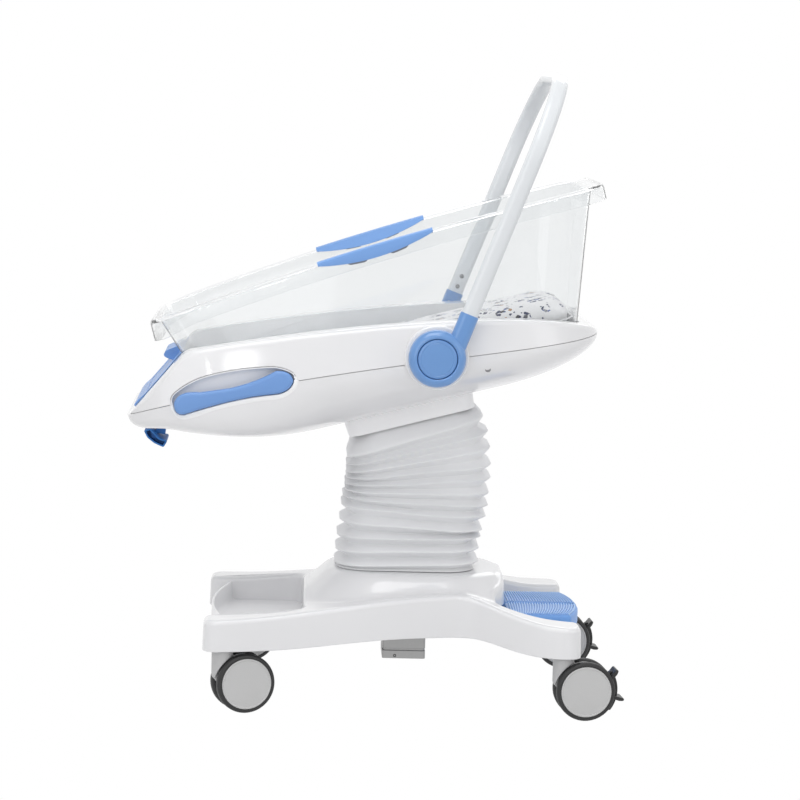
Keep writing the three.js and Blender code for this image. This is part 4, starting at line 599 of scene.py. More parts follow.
def brake_lever():
    """Bow behind the wheels with a tread above and a tongue below."""
    bow = bmesh.new()
    line = [about_axle(57, d) for d in range(-37, 34, 5)]
    line += [about_axle(55, 36), about_axle(47, 36), about_axle(42, 34)]
    line += [about_axle(40.5, d) for d in range(28, -36, -7)] + [about_axle(45, -40), about_axle(53, -41)]
    slab(bow, line, -6.4, 6.4, 1.5, 3)
    for angle, turn, length, thick in ((29, 52, 13, 5.6), (-12, -14, 15, 5.4)):
        x, z = about_axle(53, angle)
        run = Vector((math.cos(math.radians(turn)), math.sin(math.radians(turn))))
        off = Vector((-run.y, run.x))
        tongue = [(-2, -0.62), (0.5, -0.7), (0.82, -0.5), (0.97, -0.3), (1, 0), (0.97, 0.3), (0.82, 0.5), (0.5, 0.5), (-2, 0.5)]
        tongue = [(max(-4, u * length), v * thick) for u, v in tongue]
        slab(bow, [(x + run.x * u + off.x * v, z + run.y * u + off.y * v) for u, v in tongue], -18.6, 18.6, 1.6, 3)
    return bow


for spot, stem_x, side, turn in (("foot_right", -305, -1, 17), ("foot_left", -305, 1, 8),
                                 ("head_right", 269, -1, 5), ("head_left", 269, 1, 3)):
    stem = base_place @ Matrix.Translation((stem_x, side * 234, 0)) @ Matrix.Rotation(math.radians(turn), 4, "Z")
    braked = spot.startswith("head")
    flat_faced(piece(f"hood_{spot}", caster_hood(), stem, caster_grey, f"caster_{spot}", [f"caster_hood_{spot}"]))
    flat_faced(piece(f"core_{spot}", caster_core(braked), stem, core_black, f"caster_{spot}", ()))
    finish_nodes(ground_steel, f"caster_axle_{spot}")
    for end, way in (("outer", side), ("inner", -side)):
        disc = bmesh.new()
        turned(disc, [(r, way * y) for r, y in (
            (0, 24.6), (4.3, 24.6), (4.3, 9), (5, 8.6), (42, 8.6), (42.6, 9.2), (42.6, 26.9), (42.1, 27.7),
            (41.2, 28), (40.4, 27.8), (39.9, 27.2), (39.4, 26.9), (0, 26.9))], (AXLE_X, AXLE_Z), 96)
        closed_up(disc)
        flat_faced(piece(f"disc_{end}_{spot}", disc, stem, disc_grey, f"wheel_{end}_{spot}", [f"wheel_{end}_{spot}"],
                         30))
        tyre = bmesh.new()
        turned(tyre, [(r, way * y) for r, y in (
            (43, 9.4), (44.2, 9), (46, 9.2), (48, 10.2), (49.3, 12), (49.9, 14.4), (50, 16.5), (50, 19.5), (49.9, 21.6),
            (49.3, 24), (48, 25.8), (46, 26.8), (44.2, 27), (43, 26.6), (43, 9.4))], (AXLE_X, AXLE_Z), 96)
        closed_up(tyre)
        piece(f"tread_{end}_{spot}", tyre, stem, tyre_black, f"wheel_{end}_{spot}", [f"tyre_{end}_{spot}"])
    if braked:
        flat_faced(piece(f"brake_{spot}", brake_lever(), stem, core_black, f"brake_{spot}", [f"brake_lever_{spot}"]))

# Column foot: the end of a brushed alloy section that hangs out under the cover, with a groove and a screw.
# It is bolted up to the chassis plate.
brushed_alloy = metal("brushed_alloy", (0.42, 0.42, 0.42), 0.42, (1, 30, 30), 0.1)
foot_block = bmesh.new()
loft(foot_block, [[(p.x + 6, p.y, z) for p in round_box(-37.5 + i, 37.5 - i, 45 - i, 4 - i * 0.6, 4)]
                  for z, i in ((60.4, 1.0), (60.7, 0.3), (61.4, 0), (73.9, 0), (74.4, 0.5), (74.6, 2.6), (78.2, 2.6),
                               (78.4, 0.5), (78.9, 0), (127.2, 0))], True, True)
closed_up(foot_block)
flat_faced(piece("alloy_foot", foot_block, base_place, brushed_alloy, "base", ["column_foot"], 30))
foot_screw = bmesh.new()
turned(foot_screw, [(0, -44.4), (1.2, -44.4), (1.3, -45.3), (2.3, -45.5), (2.7, -45.2), (2.7, -44)], (-9.4, 65.4), 24)
closed_up(foot_screw)
piece("foot_screw", foot_screw, base_place, core_black, "base", ())

# Pedals: two light blue treads side by side at the head end, ribbed along the foot's grip, that rock on
# a shared axle under the cover. The near one raises the column and the far one lets it down.
pedal_blue = moulding("pedal_blue", (0.17, 0.38, 0.82), 0.42, wander=0.06, grain=800, relief=0.05)
# The ribs are the same blue moulding as the tread. Their lighter blue is a painted highlight on the rib tops, which
# leaves the tread's blue between them looking shaded.
rib_painted_highlight = moulding("rib_painted_highlight", (0.36, 0.60, 0.96), 0.38, wander=0.04, grain=800, relief=0.03)


def moved_out(line, grow):
    """A closed line moved off itself: outwards if it runs clockwise, inwards if anticlockwise."""
    moved = []
    size = len(line)
    for i, p in enumerate(line):
        run = (line[(i + 1) % size] - line[i - 1]).normalized()
        moved.append(p + Vector((-run.y, run.x)) * grow)
    return moved


def tread_front(y, depth):
    """X of a line across the tread, bowed like its front edge the nearer it lies to it."""
    t = min(1.0, max(0.0, (y - 1.5) / 116.5))
    return 180 + depth - 22 * t * t * (depth / 130)


tread_line = [Vector(p) for p in ((180, 2.2), (200, 1.5), (240, 1.5), (280, 1.5), (304, 1.5), (307.6, 2.4), (309.4, 5))]
tread_line += [Vector((tread_front(y, 130), y)) for y in range(12, 110, 7)]
tread_line += [Vector(p) for p in ((290.8, 113), (289, 116), (285.6, 117.8), (280, 118), (240, 118), (200, 118), (180, 117.2))]
for side, body in ((-1, "raise_pedal"), (1, "lower_pedal")):
    tread = bmesh.new()
    rings = [[(p.x, p.y, z) for p in moved_out(tread_line, inset)]
             for z, inset in ((131.4, 4.4), (131, 3.4), (131, 0.8), (131.6, 0.1), (149, 0), (151.8, 0.5), (154, 2),
                              (155.1, 4), (155.4, 6))]
    loft(tread, [[(x, y, 150) for x, y, _ in rings[0]]] + rings, True, True)
    closed_up(tread)
    ribs = bmesh.new()
    for n in range(26):
        depth = 9 + n * 4.6
        rib = []
        for y in range(8, 113, 8):
            x = tread_front(y, depth)
            rib.append([(x - 1.3, y, 155.5), (x - 1.1, y, 157.2), (x - 0.5, y, 157.7), (x + 0.5, y, 157.7),
                        (x + 1.1, y, 157.2), (x + 1.3, y, 155.5)])
        loft(ribs, rib, True, True)
    slab(tread, [(138, 134.5), (184, 134.5), (184, 148.5), (138, 148.5)], 26, 92, 1.5, 2)
    turned(tread, [(6.4, 6.4), (12, 6.4), (12, 115.6), (6.4, 115.6), (6.4, 6.4)], (134, 141), 32)
    if side < 0:
        bmesh.ops.scale(tread, vec=(1, -1, 1), verts=tread.verts)
        bmesh.ops.scale(ribs, vec=(1, -1, 1), verts=ribs.verts)
    closed_up(tread)
    closed_up(ribs)
    piece(f"tread_{body}", tread, base_place, pedal_blue, body, [body], 30)
    piece(f"ribs_{body}", ribs, base_place, rib_painted_highlight, body, (), 30)

# Bellows: a soft white sleeve of rounded pleats round the column, clipped to the deck below and to
# the neck above. It is closed up at the foot end and drawn open at the head end by the tilt.
RIBS = 12
SEAM_RIB = 6.5
fold_foot_end = [(-120, 221.3), (-118.6, 228.7), (-117.5, 252.3), (-114.6, 277.1), (-111.8, 303.6), (-109, 330.1),
                 (-106.5, 344.9), (-103.9, 356.7), (-103, 366.7), (-102.1, 377.2), (-101.7, 387.2), (-101.5, 399.5),
                 (-101.8, 413), (-107, 446)]
fold_head_end = [(128, 221.3), (131, 236.7), (132.1, 259.2), (133.8, 279.3), (136.9, 291.1), (142, 315.4),
                 (145, 334.3), (146.6, 356.7), (148.1, 383.1), (148.6, 406.6), (146.5, 435.9), (141, 463.9),
                 (132.1, 489.4), (132, 510)]
bellows_rubber = moulding("bellows_rubber", (0.85, 0.855, 0.87), 0.4, wander=0.02, grain=420, relief=0.04)


def fold_end(ends, at):
    """Place of a ring's end at a fold count: ridges lie at the half counts."""
    knots = [0.0] + [k + 0.5 for k in range(RIBS)] + [float(RIBS)]
    for i in range(len(knots) - 1):
        if at <= knots[i + 1] or i == len(knots) - 2:
            t = (at - knots[i]) / (knots[i + 1] - knots[i])
            return Vector(ends[i]).lerp(Vector(ends[i + 1]), t)


def pleat_ring(at, inset, lift=0.0):
    """Ring of the sleeve at a fold count, drawn between its foot end and its head end."""
    foot, head = fold_end(fold_foot_end, at), fold_end(fold_head_end, at)
    t = at / RIBS
    ring = []
    for p in round_box(-125.5 + inset, 125.5 - inset, 102 - inset, 62 - inset, 14, 8):
        wave = 1.1 * math.sin(p.x / 31 + 19 * t) * math.sin(p.y / 27 - 11 * t) * math.sin(math.pi * t)
        x, z = foot.lerp(head, (p.x + 125.5) / 251)
        ring.append((x, p.y, z + wave + lift))
    return ring


def pleats(first, last):
    """Rings of the pleats between two counts; each has a sharp outer ridge and a rounded valley."""
    rings = []
    steps = round((last - first) * 14)
    for k in range(steps + 1):
        at = first + (last - first) * k / steps
        off = abs(2 * (at - math.floor(at)) - 1)
        fold = (math.sqrt(off * off + 0.006) - 0.0775) / 0.9255
        fold -= 0.1 * max(0.0, (fold - 0.55) / 0.45) ** 2
        deep = 23 - 7 * eased((at - 3) / 3)
        rings.append(pleat_ring(at, deep * fold + 0.5 * math.sin(round(at) * 2.4)))
    return rings


def sleeve(name, rings):
    bm = bmesh.new()
    loft(bm, rings)
    bmesh.ops.recalc_face_normals(bm, faces=bm.faces)
    outward = sum(f.normal.dot(f.calc_center_median().normalized()) for f in bm.faces)
    if outward < 0:
        bmesh.ops.reverse_faces(bm, faces=bm.faces)
    bmesh.ops.solidify(bm, geom=bm.faces[:], thickness=1.6)
    bmesh.ops.recalc_face_normals(bm, faces=bm.faces)
    bmesh.ops.transform(bm, matrix=MM @ base_place, verts=bm.verts)
    mesh = bpy.data.meshes.new(name)
    bm.to_mesh(mesh)
    bm.free()
    mesh.polygons.foreach_set("use_smooth", [True] * len(mesh.polygons))
    mesh.materials.append(bellows_rubber)
    made = bpy.data.objects.new(name, mesh)
    scene.collection.objects.link(made)
    return made


foot_rings = [pleat_ring(0, 26, 0.2), pleat_ring(0, 8, 0.2), pleat_ring(0, 5.5, 1), pleat_ring(0, 5, 2.4)]
lower_sleeve = sleeve("bellows_lower", foot_rings + pleats(0.2, SEAM_RIB))
collar = [[(x - 0.27 * up, y, z + up) for x, y, z in pleat_ring(RIBS, 21)] for up in (6, 13, 19)]
upper_rings = pleats(SEAM_RIB, RIBS - 0.3) + [pleat_ring(RIBS - 0.1, 12), pleat_ring(RIBS, 20)] + collar
upper_sleeve = sleeve("bellows_upper", upper_rings)
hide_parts("bellows")
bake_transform(lower_sleeve)
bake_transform(upper_sleeve)


# Lower shell of the cradle: a boat-shaped white moulding that closes the cradle from below.
# It is screwed up into the upper shell along the parting line.
REST_TILT = 15
PIVOT_Z = 510
cradle_place = Matrix.Translation((COLUMN_X, 0, PIVOT_Z)) @ Matrix.Rotation(math.radians(-REST_TILT), 4, "Y")


def bezier_height(line, x):
    """Height at x of a cubic curve given by four points, which runs on in x."""
    low, high = 0.0, 1.0
    for _ in range(36):
        t = (low + high) / 2
        s = 1 - t
        at = s**3 * line[0][0] + 3 * s * s * t * line[1][0] + 3 * s * t * t * line[2][0] + t**3 * line[3][0]
        if at < x:
            low = t
        else:
            high = t
    s = 1 - t
    return s**3 * line[0][1] + 3 * s * s * t * line[1][1] + 3 * s * t * t * line[2][1] + t**3 * line[3][1]


def parting_z(x):
    return bezier_height(((-464, 105), (-300, 120), (60, 78), (347, 44)), x)


def keel_z(x):
    if x < -392:
        return bezier_height(((-464, 101), (-464, 66.6), (-421.7, 73.2), (-392, 58.4)), x)
    if x < -120:
        return bezier_height(((-392, 58.4), (-364.2, 44.5), (-229, -9), (-120, -9)), x)
    if x > 160:
        return bezier_height(((160, -9), (262, -9), (335, 14), (347, 41)), x)
    return -9


def hull_half(x):
    if x > 120:
        s = min(1.0, (x - 120) / 227)
        return 235 * (1 - s**3) ** (1 / 3)
    if x < -290:
        s = min(1.0, (-290 - x) / 174)
        return 155 + 80 * (1 - s**2.5) ** (1 / 2.5)
    return 235


def stations(start, end, count):
    return [(start + end) / 2 - (end - start) / 2 * math.cos(math.pi * k / count) for k in range(count + 1)]


SEAM = 0.5


def hull_power(x):
    """How square the section is: fuller towards the foot end."""
    return 2.4 + 3.2 * eased((-120 - x) / 200)


def hull_ring(x, wall):
    """U of the lower shell at a station, moved in by a wall."""
    w = max(2, hull_half(x)) - wall
    high = parting_z(x) - SEAM
    low = min(keel_z(x) + wall, high - 1)
    power = 2 / hull_power(x)
    ring = []
    for k in range(49):
        c = math.cos(math.pi * k / 48)
        y = -w * math.copysign(abs(c) ** power, c)
        ring.append((x, y, high - (high - low) * math.sin(math.pi * k / 48) ** power))
    return ring


hull_bottom = bmesh.new()
rings = []
for x in stations(-464, 346.2, 72):
    ring = hull_ring(x, 0)
    ring[0] = (x, ring[0][1] + 0.5, ring[0][2])
    ring[48] = (x, ring[48][1] - 0.5, ring[48][2])
    rings.append(ring)
loft(hull_bottom, rings, True, True)
closed_up(hull_bottom)
hollow = bmesh.new()
rings = []
for x in stations(-457, 340, 60):
    ring = hull_ring(x, 3.2)
    top = ring[0][2] + 20
    rings.append(ring + [(x, ring[48][1], top), (x, ring[0][1], top)])
loft(hollow, rings, True, True)
closed_up(hollow)
openings = bmesh.new()
loft(openings, [[(p.x, p.y, z) for p in round_box(-75, 75, 58, 14)] for z in (-29, 3)], True, True)
loft(openings, [[(p.x - 421, p.y, z) for p in round_box(-25, 25, 16.5, 5)] for z in (30, 101)], True, True)
closed_up(openings)

# Hand recesses: a long rounded pocket in each side of the cradle, cut through both shells,
# with a moulded liner that turns over the edge.
GRIP_X, GRIP_Z = -278, 110
POCKET_Y = 198
recess_line = [(-0.4977, 0.0952), (-0.4178, 0.3333), (-0.23, 0.5079), (0.0282, 0.5079), (0.277, 0.3968),
               (0.3944, 0.2857), (0.4836, 0.0794), (0.5023, -0.1587), (0.4554, -0.3651), (0.3427, -0.4921),
               (0.1455, -0.4127), (-0.1596, -0.381), (-0.3427, -0.4444), (-0.4601, -0.381)]


def smooth_loop(corners, per):
    """Closed curve through the corners, with per points on each stretch."""
    line = []
    size = len(corners)
    for i in range(size):
        a, b, c, d = (Vector(corners[(i + k) % size]) for k in (-1, 0, 1, 2))
        for n in range(per):
            t = n / per
            line.append(0.5 * (2 * b + (c - a) * t + (2 * a - 5 * b + 4 * c - d) * t * t
                               + (3 * b - a - 3 * c + d) * t**3))
    return line


recess_loop = smooth_loop([(GRIP_X + 213 * u, GRIP_Z + 63 * v) for u, v in recess_line], 6)


def bowed(start, middle, end, count):
    """Points of an arc drawn by three points, without its start."""
    a, b, c = Vector(start), Vector(middle), Vector(end)
    return [a * (1 - t) ** 2 + b * (2 * t * (1 - t)) + c * t * t for t in ((k + 1) / count for k in range(count))]


grip_line = bowed((-0.4879, 0), (-0.5121, -0.4444), (-0.4251, -0.4889), 9)
grip_line += bowed((-0.4251, -0.4889), (-0.1643, -0.3778), (0.1498, -0.4444), 10)
grip_line += bowed((0.1498, -0.4444), (0.25, -0.5), (0.3478, -0.5556), 4)
grip_line += bowed((0.3478, -0.5556), (0.4638, -0.5333), (0.4879, -0.2), 9)
grip_line += bowed((0.4879, -0.2), (0.4879, 0.1778), (0.372, 0.2889), 9)
grip_line += bowed((0.372, 0.2889), (0.1836, 0.0444), (-0.029, 0.0667), 10)
grip_line += bowed((-0.029, 0.0667), (-0.15, 0.122), (-0.2657, 0.1778), 5)
grip_line += bowed((-0.2657, 0.1778), (-0.4348, 0.4444), (-0.4879, 0), 10)
grip_line = [Vector((GRIP_X + 207 * p.x, GRIP_Z + 45 * p.y)) for p in grip_line]
mouth_loop = []
snug = []
for p in recess_loop:
    close = min(grip_line, key=lambda q: (q - p).length)
    away = p - close
    hug = eased((21 - away.length) / 11) * eased((0.5 - away.normalized().y) / 0.55)
    snug.append(hug)
    mouth_loop.append(p.lerp(close + away * min(1, 1.7 / away.length), hug))


def hull_side(x, z):
    """Half width of the outer hull at a height."""
    w = hull_half(x)
    part = parting_z(x)
    if z < part:
        deep = min(1.0, (part - z) / (part - keel_z(x)))
        return w * (1 - deep ** hull_power(x)) ** (1 / hull_power(x))
    return w - 9 * (z - part) / 80


recess_tool = bmesh.new()
for side in (-1, 1):
    line = recess_loop
    loft(recess_tool, [[(p.x, side * y, p.y) for p in line] for y in (POCKET_Y - 2, 300)], True, True)
closed_up(recess_tool)
hull_shell = combined(hull_bottom, hollow, "DIFFERENCE")
open_hull = combined(hull_shell, openings, "DIFFERENCE")
rest = combined(open_hull, recess_tool, "DIFFERENCE")
for spent in (hull_bottom, hollow, openings, hull_shell, open_hull):
    spent.free()
piece("lower_hull", rest, cradle_place, white_abs, "cradle", ["lower_shell"], 30)

# Upper shell: the white moulding above the parting line, with a rolled rim, a sloping foot end,
# the well that the basin drops into and the round bosses for the arch hubs.
HUB_X, HUB_Z = 64, 82.5
hull_top_line = ((-341, 189), (-60, 170), (310, 112), (347, 45.5))


def hull_top(x):
    slope = 189 + (x + 341) * 0.706
    if x < -353:
        return slope
    if x < -329:
        t = (x + 353) / 24
        return slope * (1 - t) + bezier_height(hull_top_line, max(x, -340.9)) * t - 2.6 * math.sin(math.pi * t)
    return bezier_height(hull_top_line, x)


def well_point(way, z, grow):
    """Where a ray from the middle of the well meets its wall at a height."""
    rise_z = z - 47.3
    x0, x1 = -311 - rise_z * 0.323 - grow, 307 + rise_z * 0.323 + grow
    half = 150 + rise_z * 0.19 + grow
    near, far = 0.0, 600.0
    for _ in range(30):
        t = (near + far) / 2
        if round_box_distance(WELL_MID + way.x * t, way.y * t, x0, x1, half, 62 + grow) < 0:
            near = t
        else:
            far = t
    return Vector((WELL_MID + way.x * near, way.y * near))


WELL_MID = -20
side_x = stations(-455, 346.2, 88)
loop_x = [(x, -1) for x in side_x] + [(x, 1) for x in reversed(side_x)]
foot_row = [(-455, 1 - 2 * k / 17) for k in range(1, 17)]
outer_rings = [[] for _ in range(14)]
for x, way in loop_x + foot_row:
    w = max(3, hull_half(x))
    low = parting_z(x) + SEAM
    high = max(low + 0.8, hull_top(x))
    draft = 12 * min(1, (high - low) / 90)
    r = min(10, (high - low) * 0.45, w * 0.4)
    half = [(w - 0.6, low - 0.2)]
    half += [(w - 0.75 * draft * t, low + 0.6 * min(1, high - low) + (high - r - low - 0.6) * t)
             for t in (0, 0.15, 0.4, 0.7, 1)]
    for k in range(1, 9):
        a = math.pi / 2 * k / 8
        half.append((w - 0.75 * draft - (0.25 * draft + r) * (1 - math.cos(a)), high - r + r * math.sin(a)))
    for ring, (y, z) in zip(outer_rings, half):
        ring.append(Vector((x, way * y, z)))
rim = outer_rings[-1]
edge = []
ways = []
for p in rim:
    way = Vector((p.x - WELL_MID, p.y)).normalized()
    ways.append(way)
    z = p.z
    for _ in range(6):
        at = well_point(way, max(47.5, z), 3)
        z = hull_top(min(346, at.x))
    edge.append(Vector((at.x, at.y, max(48.5, z))))
top_rings = []
for t in (0.12, 0.3, 0.5, 0.7, 0.88):
    ring = []
    for p, q in zip(rim, edge):
        at = p.lerp(q, t)
        ring.append(Vector((at.x, at.y, max(48.5, hull_top(min(346, at.x))))))
    top_rings.append(ring)
well_rings = [[Vector((p.x, p.y, p.z - 0.4)) for p in edge]]
for t in (0.03, 0.2, 0.45, 0.7, 0.9, 0.97):
    ring = []
    for p, way in zip(edge, ways):
        z = p.z + (50 - p.z) * t
        at = well_point(way, z, 3 - (1.2 if t > 0.1 else 0))
        ring.append(Vector((at.x, at.y, z)))
    well_rings.append(ring)
well_rings.append([Vector((*well_point(way, 47.3, -4), 47.0)) for way in ways])
well_rings.append([Vector((*well_point(way, 47.3, -60), 47.0)) for way in ways])
hull_rim = bmesh.new()
loft(hull_rim, outer_rings + top_rings + well_rings, False, True)
bmesh.ops.remove_doubles(hull_rim, verts=hull_rim.verts, dist=1e-3)
bmesh.ops.recalc_face_normals(hull_rim, faces=hull_rim.faces)
flat = max(hull_rim.faces, key=lambda f: f.calc_area())
if flat.normal.z < 0:
    bmesh.ops.reverse_faces(hull_rim, faces=hull_rim.faces)
bmesh.ops.solidify(hull_rim, geom=hull_rim.faces[:], thickness=2.6)
bmesh.ops.recalc_face_normals(hull_rim, faces=hull_rim.faces)
rest = combined(hull_rim, recess_tool, "DIFFERENCE")
recess_tool.free()
hull_rim.free()


bosses = bmesh.new()
for side in (-1, 1):
    rim_profile = [(54, 205), (54, 244), (53.4, 246.6), (51.6, 248.2), (49, 248.6), (11, 248.6), (11, 205)]
    turned(bosses, [(r, side * y) for r, y in rim_profile], (HUB_X, HUB_Z))
bmesh.ops.remove_doubles(bosses, verts=bosses.verts, dist=1e-3)
bmesh.ops.recalc_face_normals(bosses, faces=bosses.faces)
boss_mesh = bpy.data.meshes.new("boss_part")
bosses.to_mesh(boss_mesh)
bosses.free()
rest.from_mesh(boss_mesh)
bpy.data.meshes.remove(boss_mesh)
piece("upper_hull", rest, cradle_place, white_abs, "cradle", ["upper_shell"], 30)

liner = bmesh.new()
for side in (-1, 1):
    rings = []
    for line, free_in, free_deep, snug_in, snug_deep in (
            (recess_loop, 1.0, 4.0, 3.2, 1.0), (recess_loop, -1.0, 4.0, 2.6, 0.1), (recess_loop, -1.5, 3.4, 1.6, -0.15),
            (mouth_loop, -1.5, 0.6, 0.9, -0.15), (mouth_loop, -1.9, 0.1, 0.2, 0), (mouth_loop, -2.8, 0, -0.3, 0.4),
            (mouth_loop, -3.4, 0.6, -0.5, 1.6)):
        ring = []
        for p, r, q, hug in zip(moved_out(recess_loop, free_in), moved_out(line, snug_in), recess_loop, snug):
            at = p.lerp(r, hug)
            ring.append((at.x, side * (hull_side(q.x, q.y) - free_deep - (snug_deep - free_deep) * hug), at.y))
        rings.append(ring)
    for grow, y in ((-0.6, 222), (-1.6, 219), (-3.6, 216.6), (-7, 215.4), (-12, 215)):
        ring = []
        for p, r, q, hug in zip(moved_out(recess_loop, grow - 3), moved_out(mouth_loop, grow), recess_loop, snug):
            at = p.lerp(r, hug)
            ring.append((at.x, side * min(y, hull_side(q.x, q.y) - 2), at.y))
        rings.append(ring)
    loft(liner, rings, False, True)
closed_up(liner)
for face in liner.faces:
    face.smooth = True
if sum(f.normal.y * (1 if f.calc_center_median().y > 0 else -1) * f.calc_area() for f in liner.faces) < 0:
    bmesh.ops.reverse_faces(liner, faces=liner.faces)
# The liner is drawn in a lighter white than the hull: painted light that brightens the shade deep in the recess.
recess_painted_light = moulding("recess_painted_light", (0.91, 0.91, 0.92), 0.4, wander=0.02, grain=500, relief=0.04)
piece("hand_recess", liner, cradle_place, recess_painted_light, "cradle", ())

# Neck block: white skirt under the hull that hides the tilt bearing and holds the bellows' top ring.
neck = bmesh.new()
rings = []
for z, wide in ((3, 3), (-10, 2), (-28, 0.2), (-31, -0.3), (-32.6, -1.4), (-33, -3.2), (-32.6, -4.5), (-30.5, -5),
                (-10, -3), (3, -2), (3, 3)):
    rings.append([(p.x, p.y, z) for p in round_box(-111 - wide, 111 + wide, 92 + wide, 26 + wide)])
loft(neck, rings)
closed_up(neck)
# The skirt is drawn in a lighter white than the hull: painted light against the shade under the hull.
neck_painted_light = moulding("neck_painted_light", (0.93, 0.93, 0.945), 0.35, wander=0.02, coat=0.2)
piece("neck_skirt", neck, cradle_place, neck_painted_light, "cradle", ["neck_block"])

# Working parts inside the cradle: the tilt yoke and its pin, the welded frame, the locking gas spring and
# the release cable. They are plated, painted or sheathed, and lie hidden between the two shells.
spring_black = moulding("spring_black", (0.02, 0.02, 0.022), 0.3, wander=0.1, grain=300, relief=0.03)
finish_nodes(zinc_plate, "tilt_yoke", "cradle_frame")
finish_nodes(ground_steel, "tilt_pin", "gas_rod", "hub_spindle_left", "hub_spindle_right")
finish_nodes(spring_black, "gas_cylinder", "release_cable")

# Side grips: a padded blue handle along each hand recess, screwed to two posts in its floor.
trim_blue = moulding("trim_blue", (0.165, 0.335, 0.70), 0.4, wander=0.05, grain=900, relief=0.06, coat=0.12)
for side, label in ((-1, "right"), (1, "left")):
    grip = bmesh.new()
    slab(grip, grip_line, side * 224, side * 238.6, 6.2, 7)
    posts = bmesh.new()
    for u in (-0.406, 0.396):
        post = [(0, 198.3), (6.6, 198.3), (7, 198.8), (7, 230), (0, 230)]
        turned(posts, [(r, side * y) for r, y in post], (GRIP_X + 207 * u, GRIP_Z - 6), 32)
    closed_up(posts)
    joined_grip = combined(grip, posts, "UNION")
    for spent in (grip, posts):
        spent.free()
    piece(f"hand_grip_{label}", joined_grip, cradle_place, trim_blue, "cradle", [f"side_grip_{label}"], 40)

# Foot fascia: a blue moulding clipped on the sloping foot end, turned over its top edge as a rest for the
# palm, with a shallow panel framed by a raised border.
slope_along = Vector((-0.817, -0.5767))
slope_out = Vector((-0.5767, 0.817))


def on_slope(along, out):
    return Vector((-341, 189)) + slope_along * along + slope_out * out


fascia_corners = [(*on_slope(134, 0.3), 0.5), (*on_slope(8, 0.3), 2), (-337, 184, 1), (-337, 187.6, 1.5),
                  (*on_slope(5, 1.8), 3), (*on_slope(40, 1.4), 9), (*on_slope(108, 1.4), 9), (*on_slope(121, 3.2), 5),
                  (*on_slope(132.6, 2.8), 0.9)]
fascia_line = round_corners(fascia_corners, 0, 5, 400)
if sum(a.cross(b) for a, b in zip(fascia_line, fascia_line[1:] + fascia_line[:1])) < 0:
    fascia_line = round_corners(list(reversed(fascia_corners)), 0, 5, 400)
plate = bmesh.new()
slab(plate, fascia_line, -140, 140, 0.35, 2)
rest_corners = [(*on_slope(40, 0.6), 3), (*on_slope(12, 0.6), 1), (-338, 183, 1), (-338, 187.9, 1.5), (-365, 187.5, 9),
                (-382, 185, 6), (-389, 178, 4.5), (-383, 172, 6)]
rest_line = round_corners(rest_corners, 0, 5, 400)
if sum(a.cross(b) for a, b in zip(rest_line, rest_line[1:] + rest_line[:1])) < 0:
    rest_line = round_corners(list(reversed(rest_corners)), 0, 5, 400)
palm_rest = bmesh.new()
slab(palm_rest, rest_line, -58, 58, 4, 5)
bmesh.ops.remove_doubles(palm_rest, verts=palm_rest.verts, dist=0.02)
fascia = combined(plate, palm_rest, "UNION")
for spent in (plate, palm_rest):
    spent.free()
panel = bmesh.new()
panel_corners = [(*on_slope(50, 0.7), 0.6), (*on_slope(50, 12), 0.6), (*on_slope(104, 12), 0.6), (*on_slope(104, 0.7), 0.6)]
slab(panel, [Vector(c[:2]) for c in panel_corners], -112, 112, 0.5, 2)
well_room = bmesh.new()
loft(well_room, [[(p.x, p.y, z) for p in round_box(-311 - rise * 0.323 - 2, 307, 150 + rise * 0.19 + 2, 64, 10)]
                 for z, rise in ((140, 92.7), (180, 132.7), (230, 182.7))], True, True)
closed_up(well_room)
framed = combined(fascia, panel, "DIFFERENCE")
clear = combined(framed, well_room, "DIFFERENCE")
for spent in (fascia, panel, well_room, framed):
    spent.free()
flat_faced(piece("foot_fascia", clear, cradle_place, trim_blue, "cradle", ["front_fascia"], 35))

# Tilt lever: a deeper blue hooked lever under the foot end. Squeezed against the shell, it draws the cable
# that frees the gas spring.
lever_blue = moulding("lever_blue", (0.02, 0.165, 0.5), 0.5, wander=0.06, grain=700, relief=0.05)
LEVER_X, LEVER_Z = -412, 88
lever = bmesh.new()
blade_corners = [(LEVER_X + u, LEVER_Z + w, r) for u, w, r in (
    (-41, -30, 1.5), (-38, -43, 14), (-29, -55, 18), (-15, -66, 3), (-5, -56, 3), (-18, -49, 12), (-29, -28, 2))]
blade = round_corners(blade_corners, 0, 6, 400)
slab(lever, blade, -45, 45, 1.2, 3)
end_room = bmesh.new()
for y0, y1 in ((-52, -24), (24, 52)):
    slab(end_room, round_corners(blade_corners, 2.8, 6, 400), y0, y1, 0.5, 2)
hollow_blade = combined(lever, end_room, "DIFFERENCE")
for spent in (lever, end_room):
    spent.free()
lever = hollow_blade
shank = round_corners([(LEVER_X + u, LEVER_Z + w, r) for u, w, r in (
    (-24, -41, 1), (-9, -48, 1), (7, -2, 6), (4, 6, 6), (-5, 6, 6), (-8, 1, 5))], 0, 5, 400)
slab(lever, shank, -15, 15, 1.2, 3)
for y in (-30, 30):
    slab(lever, [(LEVER_X + u, LEVER_Z + w) for u, w in ((-33, -46), (-19, -52), (-21, -40), (-31, -33))], y - 1.5, y + 1.5, 0.5, 2)
lever_pin = bmesh.new()
turned(lever_pin, [(0, -23.6), (2.6, -23.6), (3, -23.2), (3, 23.2), (2.6, 23.6), (0, 23.6)], (LEVER_X, LEVER_Z), 24)
closed_up(lever_pin)
whole_lever = combined(lever, lever_pin, "UNION")
for spent in (lever, lever_pin):
    spent.free()
flat_faced(piece("release_lever", whole_lever, cradle_place, lever_blue, "tilt_lever", ["tilt_lever"], 35))

